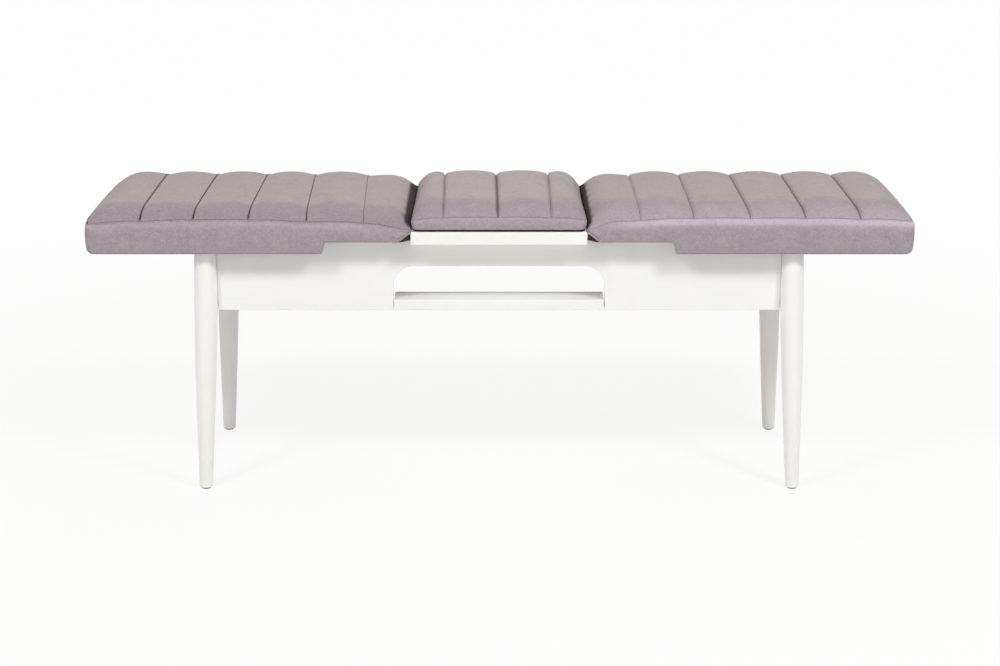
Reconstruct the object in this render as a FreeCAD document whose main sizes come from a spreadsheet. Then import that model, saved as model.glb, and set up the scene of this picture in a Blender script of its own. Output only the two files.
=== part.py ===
import FreeCAD, Part
import math
import os
import re
import Sketcher

# Extendable upholstered bench, drawn apart with its loose leaf laid in. Millimetres, +Z up, +X along the
# bench, the front at -Y. The origin is on the floor under the middle of the bench.

SIZES = [
    ("half_length", 550, "length of one seat half"),
    ("leaf_space", 300, "space between the drawn-apart halves"),
    ("seat_depth", 350, "front to back over the fabric"),
    ("frame_height", 445, "floor to the top of the aprons"),
    ("apron_length", 969, "front and back apron boards"),
    ("frame_inset", 35, "from the seat's long edges to the faces of the long aprons"),
    ("apron_height", 124, "height of every apron board"),
    ("board_thick", 18, "apron boards and low rail"),
    ("edge_bevel", 0.9, "softened edges of the lacquered boards"),
    ("notch_width", 364, "cut-out in the front and back aprons"),
    ("notch_rise", 78, "height of the cut-out"),
    ("notch_corner", 36, "upper corners of the cut-out"),
    ("rail_depth", 55, "low rail, front to back"),
    ("rail_gap", 1.2, "between the rail and each side of the cut-out"),
    ("dowel_dia", 8, "dowels of the low rail"),
    ("dowel_length", 36, "dowels of the low rail"),
    ("dowel_fit", 0.05, "radial clearance of the dowels"),
    ("leg_dia", 40, "full diameter of a leg"),
    ("foot_dia", 23, "diameter of a leg at the floor"),
    ("taper_rise", 150, "height of the straight part of the taper"),
    ("swell_rise", 354, "height at which a leg is at its full diameter"),
    ("leg_bite", 16.5, "from an apron's end to the leg's axis at the top"),
    ("leg_inset", 2, "from the leg's axis out to the apron's outer face"),
    ("lean_along", 16, "how far a foot stands out along the bench"),
    ("lean_across", 17.4, "how far a foot stands out across the bench"),
    ("foot_glide_dia", 16, "glide under a foot"),
    ("foot_glide_thick", 3, "glide under a foot"),
    ("plate_reach", 34, "from the inner corner to the bend of a corner plate"),
    ("plate_wing", 22, "wing of a corner plate"),
    ("plate_thick", 2, "steel of a corner plate"),
    ("plate_height", 60, "height of a corner plate"),
    ("plate_rise", 41, "from the apron's lower edge to the middle of the plate"),
    ("bolt_dia", 8, "hanger bolts"),
    ("bolt_length", 80, "hanger bolts"),
    ("bolt_grip", 28, "length of a hanger bolt inside its leg"),
    ("bolt_fit", 0.05, "radial clearance of the hanger bolts"),
    ("bolt_room", 0.5, "round a hanger bolt in its corner plate and between two aprons"),
    ("nut_width", 13, "across the flats"),
    ("nut_thick", 6.5, "nuts"),
    ("under_gap", 3.5, "from the aprons' top to the underside of a seat half"),
    ("glide_gap", 0.3, "between a seat half and its glide strips"),
    ("strip_width", 14, "glide strips"),
    ("strip_start", 155, "from the middle to a glide strip"),
    ("cover_thick", 1.5, "fabric with its backing"),
    ("seat_board_thick", 18, "seat boards"),
    ("skirt_drop", 19.5, "how far the skirt hangs below a half's underside"),
    ("skirt_start", 143, "from a half's inner end to its skirt"),
    ("skirt_slant", 7, "slope of the skirt's inner end"),
    ("skirt_strip_thick", 11, "wooden strip inside the skirt"),
    ("wrap_return", 30, "fabric turned under and stapled"),
    ("corner_round", 11.5, "outer corners seen from above"),
    ("tuck_length", 21, "folded corner beside the leaf, along the bench"),
    ("tuck_height", 17, "folded corner beside the leaf, upwards"),
    ("tuck_depth", 20, "folded corner beside the leaf, front to back"),
    ("edge_rise", 16, "from the seat board to the sewn edge"),
    ("crown_rise", 16, "from the sewn edge up to the middle"),
    ("edge_puff", 3, "swell of a channel at the sewn edge"),
    ("middle_puff", 6, "swell of a channel in the middle"),
    ("end_puff", 12, "swell of the last channels in the middle"),
    ("end_drop", 4, "how far the outer edge lies below the long edges"),
    ("end_crown", 7, "rise of the outer edge towards its middle"),
    ("inner_drop", 14, "how far the edge beside the leaf lies below the long edges"),
    ("inner_crown", 13, "rise of the edge beside the leaf towards its middle"),
    ("draw_in", 3, "how far the outer end is drawn in at its middle"),
    ("channel_width", 93.5, "sewn channels of the halves"),
    ("leaf_gap", 0.8, "between the leaf and each half"),
    ("leaf_board_thick", 22, "leaf board"),
    ("rest_gap", 0.3, "between the leaf board and the aprons"),
    ("pad_inset", 1.7, "from the leaf board's edge to the padded top"),
    ("pad_base_thick", 9, "board inside the leaf's padded top"),
    ("pad_round", 4, "lower edge of the leaf's padded top"),
    ("leaf_edge_rise", 9, "from the leaf's inner board to the sewn edge"),
    ("leaf_crown_rise", 15, "from the sewn edge up to the middle"),
    ("leaf_end_drop", 5, "how far the leaf's ends lie below its long edges"),
    ("leaf_end_crown", 9, "rise of the leaf's ends towards their middle"),
    ("leaf_channel_width", 92, "middle channels of the leaf"),
    ("cleat_thick", 6, "locating strips under the leaf"),
    ("cleat_width", 12, "locating strips under the leaf"),
    ("cleat_length", 240, "locating strips under the leaf"),
    ("cleat_gap", 0.8, "between a locating strip and the apron"),
    ("slide_drop", 24.5, "from the aprons' top to the middle of a slide"),
    ("slide_width", 12.7, "roller slide, over both channels"),
    ("sheet_thick", 1.2, "steel of the channels"),
    ("roller_dia", 4, "rollers"),
    ("roller_length", 5.4, "rollers"),
    ("roller_gap", 0.3, "running clearance round a roller"),
    ("race_offset", 14, "from the middle of a slide to each row of rollers"),
    ("race_lip", 1.4, "lip of a channel that keeps the rollers in"),
    ("cage_thick", 0.6, "strip that holds the rollers"),
    ("cage_gap", 0.4, "between the cage and a channel's web"),
    ("channel_length", 477, "outer channels"),
    ("channel_end_gap", 1.5, "between an outer channel and the end apron"),
    ("inner_length", 300, "inner channels and runner battens"),
    ("inner_set_back", 25, "from the end apron to an inner channel at rest"),
    ("parting_stroke", 15, "how far a half can be drawn beyond the leaf"),
    ("stop_gap", 0.3, "between an inner channel and its bumper at full draw"),
    ("bumper_height", 24, "rubber bumper"),
    ("cage_length", 200, "roller cages"),
    ("cage_set_back", 112, "from the end apron to a roller cage at rest"),
    ("cage_margin", 12, "from a cage's end to its first roller"),
    ("rollers_per_row", 2, "rollers in each of a slide's two rows"),
    ("batten_thick", 18, "runner battens"),
    ("batten_height", 44.5, "runner battens"),
    ("overcut", 1, "how far a cutting solid runs past what it cuts"),
]

# Places worked out from the sizes. Every piece that meets another reads its place here. The hanger bolts
# run level at 45 degrees towards the corners. Distances along them are measured outwards from the corner
# where the inner faces of two aprons meet, so a corner plate lies at a negative distance.
PLACES = {
    "inner_end": "leaf_space / 2",
    "outer_end": "leaf_space / 2 + half_length",
    "half_depth": "seat_depth / 2",
    "apron_low": "frame_height - apron_height",
    "apron_end": "apron_length / 2",
    "apron_face": "half_depth - frame_inset",
    "apron_back": "apron_face - board_thick",
    "leg_top_along": "apron_end + leg_bite",
    "leg_top_across": "apron_face - leg_inset",
    "foot_along": "leg_top_along + lean_along",
    "foot_across": "leg_top_across + lean_across",
    "end_face": "leg_top_along + leg_inset",
    "end_back": "end_face - board_thick",
    "end_reach": "leg_top_across - leg_bite",
    "leg_slope": "(leg_dia - foot_dia) / 2 / (taper_rise + (swell_rise - taper_rise) / 2)",
    "knee_radius": "foot_dia / 2 + leg_slope * taper_rise",
    "plate_middle": "apron_low + plate_rise",
    "plate_back": "-(plate_reach / sqrt(2))",
    "corner_along": "leg_top_along + lean_along * (frame_height - plate_middle) / frame_height - end_back",
    "corner_across": ("leg_top_across + lean_across * (frame_height - plate_middle) / frame_height"
                      " - apron_back"),
    "leg_skin": "leg_dia / 2 - (corner_along + corner_across) / sqrt(2)",
    "bolt_start": "bolt_grip - leg_skin",
    "under": "frame_height + under_gap",
    "skirt_low": "under - skirt_drop",
    "board_low": "under + cover_thick",
    "board_top": "board_low + seat_board_thick",
    "skirt_wall": "2 * cover_thick + skirt_strip_thick",
    "skirt_end": "inner_end + skirt_start",
    "leaf_low": "frame_height + rest_gap",
    "leaf_top": "leaf_low + leaf_board_thick",
    "leaf_end": "inner_end - leaf_gap",
    "pad_end": "leaf_end - pad_inset",
    "pad_half": "half_depth - pad_inset",
    "pad_top": "leaf_top + pad_base_thick",
    "slide_middle": "frame_height - slide_drop",
    "race_roof": "race_offset + roller_dia / 2 + roller_gap",
    "race_floor": "race_offset - roller_dia / 2 - roller_gap",
    "flange_tip": "slide_width - sheet_thick - cage_gap",
    "flange_root": "sheet_thick + 2 * cage_gap + cage_thick",
    "roller_middle": "(flange_root + flange_tip) / 2",
    "slide_face": "apron_back - slide_width",
    "channel_out": "end_back - channel_end_gap",
    "inner_out": "end_back - inner_set_back",
    "cage_out": "end_back - cage_set_back",
    "bumper_in": "inner_out + parting_stroke + stop_gap",
}

doc = FreeCAD.newDocument("bench")
sheet = doc.addObject("Spreadsheet::Sheet", "sizes")
for row, (alias, value, note) in enumerate(SIZES, start=1):
    sheet.set("A%d" % row, note)
    sheet.set("B%d" % row, str(value))
    sheet.setAlias("B%d" % row, alias)
doc.recompute()

SIZE_NAMES = {alias for alias, value, note in SIZES}
nodes = {}


def bind(text):
    """Turn a text in size and place names into an expression on the sheet."""
    def spell(match):
        word = match.group(0)
        if word in SIZE_NAMES:
            return "sizes." + word
        if word in PLACES:
            return "(" + bind(PLACES[word]) + ")"
        return word
    return re.sub(r"[A-Za-z_]+", spell, text)


def number(text):
    """The present value of a text in size and place names."""
    return float(sheet.evalExpression(bind(text)))


def new_body(name):
    body = doc.addObject("PartDesign::Body", name)
    body.Label = name
    return body


def datum(body, role):
    """One of the planes or axes of a body's own origin."""
    return next(item for item in body.Origin.OriginFeatures if item.Role == role)


def new_sketch(body, role, name, offset="0"):
    """A sketch on one of the body's own planes, moved along its normal."""
    sketch = body.newObject("Sketcher::SketchObject", name)
    sketch.AttachmentSupport = (datum(body, role), "")
    sketch.MapMode = "FlatFace"
    sketch.setExpression("AttachmentOffset.Base.z", bind(offset))
    return sketch


def arc_between(first, last, radius):
    """Counter-clockwise arc of under a half circle from first to last."""
    chord = last - first
    middle = (first + last) * 0.5
    left = FreeCAD.Vector(-chord.y, chord.x, 0).normalize()
    centre = middle + left * math.sqrt(radius ** 2 - chord.Length ** 2 / 4)
    start = math.atan2(first.y - centre.y, first.x - centre.x)
    end = math.atan2(last.y - centre.y, last.x - centre.x)
    if end < start:
        end += 2 * math.pi
    return Part.ArcOfCircle(Part.Circle(centre, FreeCAD.Vector(0, 0, 1), radius), start, end)


def draw_outline(sketch, corners, arcs=None):
    """Closed outline through corners given as texts. arcs maps the number of an edge, which runs from
    the corner of that number to the next, to (radius text, whether it turns counter-clockwise)."""
    arcs = arcs or {}
    count = len(corners)
    points = [FreeCAD.Vector(number(across), number(up), 0) for across, up in corners]
    edges = []
    starts = []
    for index, point in enumerate(points):
        following = points[(index + 1) % count]
        if index not in arcs:
            edges.append(Part.LineSegment(point, following))
            starts.append((1, 2))
        elif arcs[index][1]:
            edges.append(arc_between(point, following, number(arcs[index][0])))
            starts.append((1, 2))
        else:
            edges.append(arc_between(following, point, number(arcs[index][0])))
            starts.append((2, 1))
    sketch.addGeometry(edges)
    rules = []
    bindings = []
    for index, point in enumerate(points):
        following = (index + 1) % count
        rules.append(Sketcher.Constraint("Coincident", index, starts[index][1],
                                         following, starts[following][0]))
    for index, point in enumerate(points):
        rules.append(Sketcher.Constraint("DistanceX", -1, 1, index, starts[index][0], point.x))
        bindings.append((len(rules) - 1, corners[index][0]))
        rules.append(Sketcher.Constraint("DistanceY", -1, 1, index, starts[index][0], point.y))
        bindings.append((len(rules) - 1, corners[index][1]))
    for index, (radius, turn) in arcs.items():
        rules.append(Sketcher.Constraint("Radius", index, number(radius)))
        bindings.append((len(rules) - 1, radius))
    sketch.addConstraint(rules)
    for index, text in bindings:
        sketch.setExpression("Constraints[%d]" % index, bind(text))


def draw_circle(sketch, across, up, radius):
    centre = FreeCAD.Vector(number(across), number(up), 0)
    sketch.addGeometry(Part.Circle(centre, FreeCAD.Vector(0, 0, 1), number(radius)))
    sketch.addConstraint([
        Sketcher.Constraint("DistanceX", -1, 1, 0, 3, centre.x),
        Sketcher.Constraint("DistanceY", -1, 1, 0, 3, centre.y),
        Sketcher.Constraint("Radius", 0, number(radius)),
    ])
    for index, text in enumerate((across, up, radius)):
        sketch.setExpression("Constraints[%d]" % index, bind(text))


def pad(body, sketch, name, length, reverse=False):
    feature = body.newObject("PartDesign::Pad", name)
    feature.Profile = sketch
    feature.setExpression("Length", bind(length))
    feature.Reversed = reverse
    return feature


def pocket(body, sketch, name, length, reverse=False):
    """A pocket that has to take something away."""
    doc.recompute()
    before = body.Shape.Volume
    feature = body.newObject("PartDesign::Pocket", name)
    feature.Profile = sketch
    feature.setExpression("Length", bind(length))
    feature.Reversed = reverse
    doc.recompute()
    if body.Shape.Volume >= before - 0.01:
        raise RuntimeError(name + " cuts nothing")
    return feature


def mirror_feature(body, feature, role, name):
    """The same feature on the other side of one of the body's own planes."""
    mirrored = body.newObject("PartDesign::Mirrored", name)
    mirrored.Originals = [feature]
    mirrored.MirrorPlane = (datum(body, role), [""])
    body.Tip = mirrored
    return mirrored


def soften_edges(body, name, wanted):
    """Bevel the edges of the body's last feature for which wanted(edge) is true."""
    doc.recompute()
    base = body.Tip
    names = []
    for index, edge in enumerate(base.Shape.Edges, start=1):
        if wanted(edge):
            names.append("Edge%d" % index)
    feature = body.newObject("PartDesign::Chamfer", name)
    feature.Base = (base, names)
    feature.setExpression("Size", bind("edge_bevel"))
    return feature


def place(item, along="0", across="0", up="0"):
    item.setExpression("Placement.Base.x", bind(along))
    item.setExpression("Placement.Base.y", bind(across))
    item.setExpression("Placement.Base.z", bind(up))


def keep(item, name):
    """Keep an object as a node of the part."""
    item.Label = name
    nodes[name] = item
    return item


def mirrored_node(source, name, normal):
    """Node that is the mirror image of another in the plane through the origin with this normal."""
    item = doc.addObject("Part::Mirroring", name)
    item.Source = source
    item.Base = FreeCAD.Vector(0, 0, 0)
    item.Normal = FreeCAD.Vector(*normal)
    return keep(item, name)


def keep_both_ends(source, name):
    """Keep a left-hand piece and its right-hand twin."""
    keep(source, "left_" + name)
    mirrored_node(source, "right_" + name, (1, 0, 0))


def keep_four(source, name):
    """Keep a front left piece and its twins in the three other corners."""
    keep(source, "front_left_" + name)
    mirrored_node(source, "front_right_" + name, (1, 0, 0))
    back = mirrored_node(source, "back_left_" + name, (0, 1, 0))
    mirrored_node(back, "back_right_" + name, (1, 0, 0))


def box(name, low, high):
    """Box between two corners given as texts."""
    item = doc.addObject("Part::Box", name)
    for side, start, end in zip(("Length", "Width", "Height"), low, high):
        item.setExpression(side, bind("(%s) - (%s)" % (end, start)))
    place(item, *low)
    return item


def cylinder(name, radius, height):
    item = doc.addObject("Part::Cylinder", name)
    item.setExpression("Radius", bind(radius))
    item.setExpression("Height", bind(height))
    return item


def cut(name, base, tool):
    item = doc.addObject("Part::Cut", name)
    item.Base = base
    item.Tool = tool
    return item


def group(name, items):
    item = doc.addObject("Part::Compound", name)
    item.Links = items
    return item


def four_corners(name, source):
    """One object that holds a front left solid and its twins in the three other corners."""
    twins = [source]
    for label, normal in (("right", (1, 0, 0)), ("back", (0, 1, 0))):
        for index, twin in enumerate(list(twins)):
            item = doc.addObject("Part::Mirroring", "%s_%s_%d" % (name, label, index))
            item.Source = twin
            item.Base = FreeCAD.Vector(0, 0, 0)
            item.Normal = FreeCAD.Vector(*normal)
            twins.append(item)
    return group(name, twins)


def aim_at_corner(item, distance):
    """Lay an upright object level along the diagonal, starting at this distance beyond the corner."""
    item.setExpression(
        "Placement",
        bind("create(<<placement>>; create(<<vector>>; -(end_back + (%s) / sqrt(2)); "
             "-(apron_back + (%s) / sqrt(2)); plate_middle); create(<<rotation>>; 225; 90; 0))"
             % (distance, distance)),
    )


def on_plane(edge, axis, value, slack=0.01):
    """Whether a whole edge lies in a plane square to an axis."""
    box_of = edge.BoundBox
    low = (box_of.XMin, box_of.YMin, box_of.ZMin)[axis]
    high = (box_of.XMax, box_of.YMax, box_of.ZMax)[axis]
    return abs(low - value) < slack and abs(high - value) < slack


def arched_apron(name, inner_plane, face):
    """Board with an arched cut-out open at its lower edge, softened round its outer face."""
    body = new_body(name)
    sketch = new_sketch(body, "XZ_Plane", name + "_outline", inner_plane)
    half = "notch_width / 2"
    draw_outline(
        sketch,
        [
            ("-(apron_end)", "apron_low"),
            ("-(%s)" % half, "apron_low"),
            ("-(%s)" % half, "apron_low + notch_rise - notch_corner"),
            ("-(%s) + notch_corner" % half, "apron_low + notch_rise"),
            ("%s - notch_corner" % half, "apron_low + notch_rise"),
            (half, "apron_low + notch_rise - notch_corner"),
            (half, "apron_low"),
            ("apron_end", "apron_low"),
            ("apron_end", "frame_height"),
            ("-(apron_end)", "frame_height"),
        ],
        {2: ("notch_corner", False), 4: ("notch_corner", False)},
    )
    pad(body, sketch, name + "_sheet", "board_thick")
    soften_edges(body, name + "_edges", lambda edge: on_plane(edge, 1, number(face)))
    return body


def bored_for_bolts(name, board):
    """A board with its inner ends bored where the hanger bolts run past them."""
    hole = cylinder(name + "_bolt_hole", "bolt_dia / 2 + bolt_room", "4 * bolt_dia")
    aim_at_corner(hole, "-(2 * bolt_dia)")
    return cut(name + "_bored", board, four_corners(name + "_bolt_holes", hole))


def make_long_aprons():
    """Front and back boards. The front one has dowel holes for the low rail."""
    front = arched_apron("front_apron_board", "apron_back", "-(apron_face)")
    for side, name in (("-1", "left"), ("1", "right")):
        seat = new_sketch(front, "YZ_Plane", "dowel_seat_%s" % name, "%s * notch_width / 2" % side)
        draw_circle(seat, "-(apron_face - board_thick / 2)", "apron_low + board_thick / 2",
                    "dowel_dia / 2 + dowel_fit")
        pocket(front, seat, "dowel_hole_%s" % name, "dowel_length / 2", reverse=(side == "1"))
    keep(bored_for_bolts("front_apron", front), "front_apron")
    back = arched_apron("back_apron_board", "-(apron_face)", "apron_face")
    keep(bored_for_bolts("back_apron", back), "back_apron")


def make_end_aprons():
    body = new_body("left_end_apron_board")
    sketch = new_sketch(body, "YZ_Plane", "end_apron_outline", "-(end_face)")
    draw_outline(sketch, [
        ("-(end_reach)", "apron_low"),
        ("end_reach", "apron_low"),
        ("end_reach", "frame_height"),
        ("-(end_reach)", "frame_height"),
    ])
    pad(body, sketch, "end_apron_sheet", "board_thick")
    face = -number("end_face")
    low = number("apron_low")
    soften_edges(body, "end_apron_edges", lambda edge: on_plane(edge, 0, face) and on_plane(edge, 2, low))
    keep_both_ends(bored_for_bolts("end_apron", body), "end_apron")


def make_rail():
    """Low rail flush with the front apron, held by a dowel at each end."""
    body = new_body("front_rail")
    end = "notch_width / 2 - rail_gap"
    sketch = new_sketch(body, "YZ_Plane", "rail_outline", "-(%s)" % end)
    draw_outline(sketch, [
        ("-(apron_face)", "apron_low"),
        ("-(apron_face) + rail_depth", "apron_low"),
        ("-(apron_face) + rail_depth", "apron_low + board_thick"),
        ("-(apron_face)", "apron_low + board_thick"),
    ])
    pad(body, sketch, "rail_board", "notch_width - 2 * rail_gap")
    for side, name in (("-1", "left"), ("1", "right")):
        seat = new_sketch(body, "YZ_Plane", "rail_seat_%s" % name, "%s * (%s)" % (side, end))
        draw_circle(seat, "-(apron_face - board_thick / 2)", "apron_low + board_thick / 2",
                    "dowel_dia / 2 + dowel_fit")
        pocket(body, seat, "rail_hole_%s" % name, "dowel_length / 2 - rail_gap", reverse=(side == "-1"))
    soften_edges(body, "rail_edges", lambda edge: edge.BoundBox.XLength > number("notch_width") / 2)
    keep(body, "front_rail")

    dowels = []
    for side, name in (("-1", "left"), ("1", "right")):
        dowel = cylinder("rail_dowel_" + name, "dowel_dia / 2", "dowel_length")
        dowel.Placement = FreeCAD.Placement(FreeCAD.Vector(), FreeCAD.Rotation(FreeCAD.Vector(0, 1, 0), 90))
        place(dowel, "%s * notch_width / 2 - dowel_length / 2" % side, "-(apron_face - board_thick / 2)",
              "apron_low + board_thick / 2")
        dowels.append(dowel)
    keep(group("rail_dowels", dowels), "rail_dowels")


def make_legs():
    """Turned legs: a straight taper that swells into a round post, splayed both ways, level at the floor
    and at the top, with an upright flat where each apron meets it."""
    span_count = 3
    levels = []
    for step in range(span_count):
        up = "(foot_glide_thick + (taper_rise - foot_glide_thick) * %d / %d)" % (step, span_count)
        levels.append((up, "foot_dia / 2 + leg_slope * %s" % up))
    swell = ("leg_dia / 2 - (leg_dia / 2 - knee_radius)"
             " * ((swell_rise - %s) / (swell_rise - taper_rise)) ^ 2")
    for step in range(span_count + 1):
        up = "(taper_rise + (apron_low - taper_rise) * %d / %d)" % (step, span_count)
        levels.append((up, swell % up))
    turned = new_body("turned_leg")
    rings = []
    for index, (up, radius) in enumerate(levels):
        ring = new_sketch(turned, "XY_Plane", "leg_ring_%d" % index, up)
        lean = "(1 - (%s) / frame_height)" % up
        draw_circle(ring, "-(leg_top_along + lean_along * %s)" % lean,
                    "-(leg_top_across + lean_across * %s)" % lean, radius)
        rings.append(ring)
    form = turned.newObject("PartDesign::AdditiveLoft", "leg_form")
    form.Profile = rings[0]
    form.Sections = rings[1:]
    form.Ruled = True

    bar = cylinder("leg_post_bar", "leg_dia / 2", "frame_height + leg_dia")
    bar.setExpression(
        "Placement",
        bind("create(<<placement>>; create(<<vector>>; -(foot_along); -(foot_across); 0); "
             "create(<<rotation>>; 0; atan(lean_along / frame_height); "
             "-(atan(lean_across / sqrt(frame_height ^ 2 + lean_along ^ 2)))))"),
    )
    post = doc.addObject("Part::Common", "leg_post")
    post.Base = bar
    post.Tool = box("leg_post_span", ("-(foot_along + leg_dia)", "-(foot_across + leg_dia)", "apron_low"),
                    ("0", "0", "frame_height"))
    round_leg = doc.addObject("Part::MultiFuse", "round_leg")
    round_leg.Shapes = [turned, post]

    far_along = "-(foot_along + leg_dia)"
    far_across = "-(foot_across + leg_dia)"
    flats = doc.addObject("Part::MultiFuse", "leg_flats")
    flats.Shapes = [
        box("long_apron_flat", ("-(apron_end)", far_across, "apron_low"), ("0", "0", "frame_height + overcut")),
        box("end_apron_flat", (far_along, "-(end_reach)", "apron_low"), ("0", "0", "frame_height + overcut")),
    ]
    flat_leg = cut("flat_leg", round_leg, flats)
    hole = cylinder("leg_bolt_hole", "bolt_dia / 2 + bolt_fit", "bolt_grip + bolt_dia")
    aim_at_corner(hole, "bolt_start - bolt_grip - bolt_dia")
    keep_four(cut("front_left_leg", flat_leg, hole), "leg")


def make_corner_plates():
    """Bent steel plate across an inner corner, with a hole for the hanger bolt."""
    body = new_body("front_left_corner_plate")
    sketch = new_sketch(body, "XY_Plane", "plate_outline", "-(plate_height / 2)")
    wing = "plate_wing / sqrt(2)"
    half = "plate_reach / sqrt(2)"
    back_half = "(%s + plate_thick * (1 - sqrt(2)))" % half
    thick = "plate_thick / sqrt(2)"
    draw_outline(sketch, [
        ("0", "%s" % half),
        ("-(%s)" % wing, "%s + %s" % (half, wing)),
        ("-(%s) - %s" % (wing, thick), "%s + %s - %s" % (half, wing, thick)),
        ("-(plate_thick)", back_half),
        ("-(plate_thick)", "-(%s)" % back_half),
        ("-(%s) - %s" % (wing, thick), "-(%s) - %s + %s" % (half, wing, thick)),
        ("-(%s)" % wing, "-(%s) - %s" % (half, wing)),
        ("0", "-(%s)" % half),
    ])
    pad(body, sketch, "plate_sheet", "plate_height")
    hole = new_sketch(body, "YZ_Plane", "plate_hole_outline")
    draw_circle(hole, "0", "0", "bolt_dia / 2 + bolt_room")
    pocket(body, hole, "plate_hole", "2 * plate_thick")
    body.setExpression(
        "Placement",
        bind("create(<<placement>>; create(<<vector>>; -(end_back + plate_back / sqrt(2)); "
             "-(apron_back + plate_back / sqrt(2)); plate_middle); create(<<rotation>>; 225; 0; 0))"),
    )
    keep_four(body, "corner_plate")


def make_bolts():
    bolt = cylinder("hanger_bolt", "bolt_dia / 2", "bolt_length")
    aim_at_corner(bolt, "bolt_start - bolt_length")
    keep(four_corners("leg_bolts", bolt), "leg_bolts")

    nut = new_body("hexagon_nut")
    hexagon = new_sketch(nut, "XY_Plane", "nut_outline")
    corner = "nut_width / sqrt(3)"
    draw_outline(hexagon, [
        (corner, "0"),
        ("%s / 2" % corner, "nut_width / 2"),
        ("-(%s / 2)" % corner, "nut_width / 2"),
        ("-(%s)" % corner, "0"),
        ("-(%s / 2)" % corner, "-(nut_width / 2)"),
        ("%s / 2" % corner, "-(nut_width / 2)"),
    ])
    pad(nut, hexagon, "nut_hexagon", "nut_thick")
    bore = new_sketch(nut, "XY_Plane", "nut_bore_outline", "nut_thick")
    draw_circle(bore, "0", "0", "bolt_dia / 2 + bolt_fit")
    pocket(nut, bore, "nut_bore", "nut_thick")
    aim_at_corner(nut, "plate_back - plate_thick - nut_thick")
    keep(four_corners("leg_nuts", nut), "leg_nuts")


def make_feet_and_strips():
    glide = cylinder("foot_glide", "foot_glide_dia / 2", "foot_glide_thick")
    place(glide, "-(foot_along)", "-(foot_across)", "0")
    keep(four_corners("foot_glides", glide), "foot_glides")
    middle = "(apron_face - board_thick / 2)"
    strip = box("glide_strip", ("-(apron_end)", "-(%s) - strip_width / 2" % middle, "frame_height"),
                ("-(strip_start)", "-(%s) + strip_width / 2" % middle, "under - glide_gap"))
    keep(four_corners("glide_strips", strip), "glide_strips")


def channel_body(name, half_section, start, length):
    """A bent section padded along the bench. Its sketch counts inwards from the apron's inner face and up
    from the middle of the slide, and its lower half mirrors the upper one. The front left section is
    padded from start towards the middle of the bench."""
    body = new_body(name)
    sketch = new_sketch(body, "YZ_Plane", name + "_section", "-(%s)" % start)
    lower = [(across, "-(%s)" % up) for across, up in reversed(half_section)]
    draw_outline(sketch, half_section + lower)
    pad(body, sketch, name + "_steel", length)
    place(body, "0", "-(apron_back)", "slide_middle")
    return body


def make_slides():
    """Roller slides: a fixed outer channel, an inner channel that moves with the seat half, and between
    them a cage with two rows of rollers. The lip of each channel keeps the rollers in."""
    outer = channel_body("front_left_outer_channel", [
        ("0", "race_roof + sheet_thick"),
        ("flange_tip", "race_roof + sheet_thick"),
        ("flange_tip", "race_roof - race_lip"),
        ("flange_tip - sheet_thick", "race_roof - race_lip"),
        ("flange_tip - sheet_thick", "race_roof"),
        ("sheet_thick", "race_roof"),
    ], "channel_out", "channel_length")
    keep_four(outer, "outer_channel")
    inner = channel_body("front_left_inner_channel", [
        ("slide_width", "race_floor"),
        ("flange_root + sheet_thick", "race_floor"),
        ("flange_root + sheet_thick", "race_floor + race_lip"),
        ("flange_root", "race_floor + race_lip"),
        ("flange_root", "race_floor - sheet_thick"),
        ("slide_width - sheet_thick", "race_floor - sheet_thick"),
    ], "inner_out", "inner_length")
    keep_four(inner, "inner_channel")
    make_cages()
    make_rollers()
    bumper = box("bumper",
                 ("-(channel_out)", "-(apron_back) + sheet_thick", "slide_middle - bumper_height / 2"),
                 ("-(bumper_in)", "-(apron_back) + flange_tip", "slide_middle + bumper_height / 2"))
    keep(four_corners("slide_bumpers", bumper), "slide_bumpers")


def set_row(pattern, body):
    """Spread a pattern over the places of the rollers in a row."""
    pattern.Direction = (datum(body, "X_Axis"), [""])
    pattern.setExpression("Length", bind("cage_length - 2 * cage_margin"))
    pattern.setExpression("Occurrences", bind("rollers_per_row"))


def make_cages():
    """Thin strips bent round the inner channel, with a window for each roller."""
    web = "sheet_thick + cage_gap"
    cage = channel_body("front_left_roller_cage", [
        (web, "race_offset + cage_thick / 2"),
        ("flange_tip", "race_offset + cage_thick / 2"),
        ("flange_tip", "race_offset - cage_thick / 2"),
        (web + " + cage_thick", "race_offset - cage_thick / 2"),
    ], "cage_out", "cage_length")
    window = new_sketch(cage, "XY_Plane", "cage_window_outline", "race_offset + cage_thick")
    first = "-(cage_out) + cage_margin"
    left, right = [first + sign + "(roller_dia / 2 + roller_gap)" for sign in (" - ", " + ")]
    low, high = ["roller_middle" + sign + "(roller_length / 2 + roller_gap)" for sign in (" - ", " + ")]
    draw_outline(window, [(left, low), (right, low), (right, high), (left, high)])
    cut_out = pocket(cage, window, "cage_window", "2 * race_offset + 2 * cage_thick")
    row = cage.newObject("PartDesign::LinearPattern", "cage_window_row")
    row.Originals = [cut_out]
    set_row(row, cage)
    cage.Tip = row
    keep_four(cage, "roller_cage")


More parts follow.
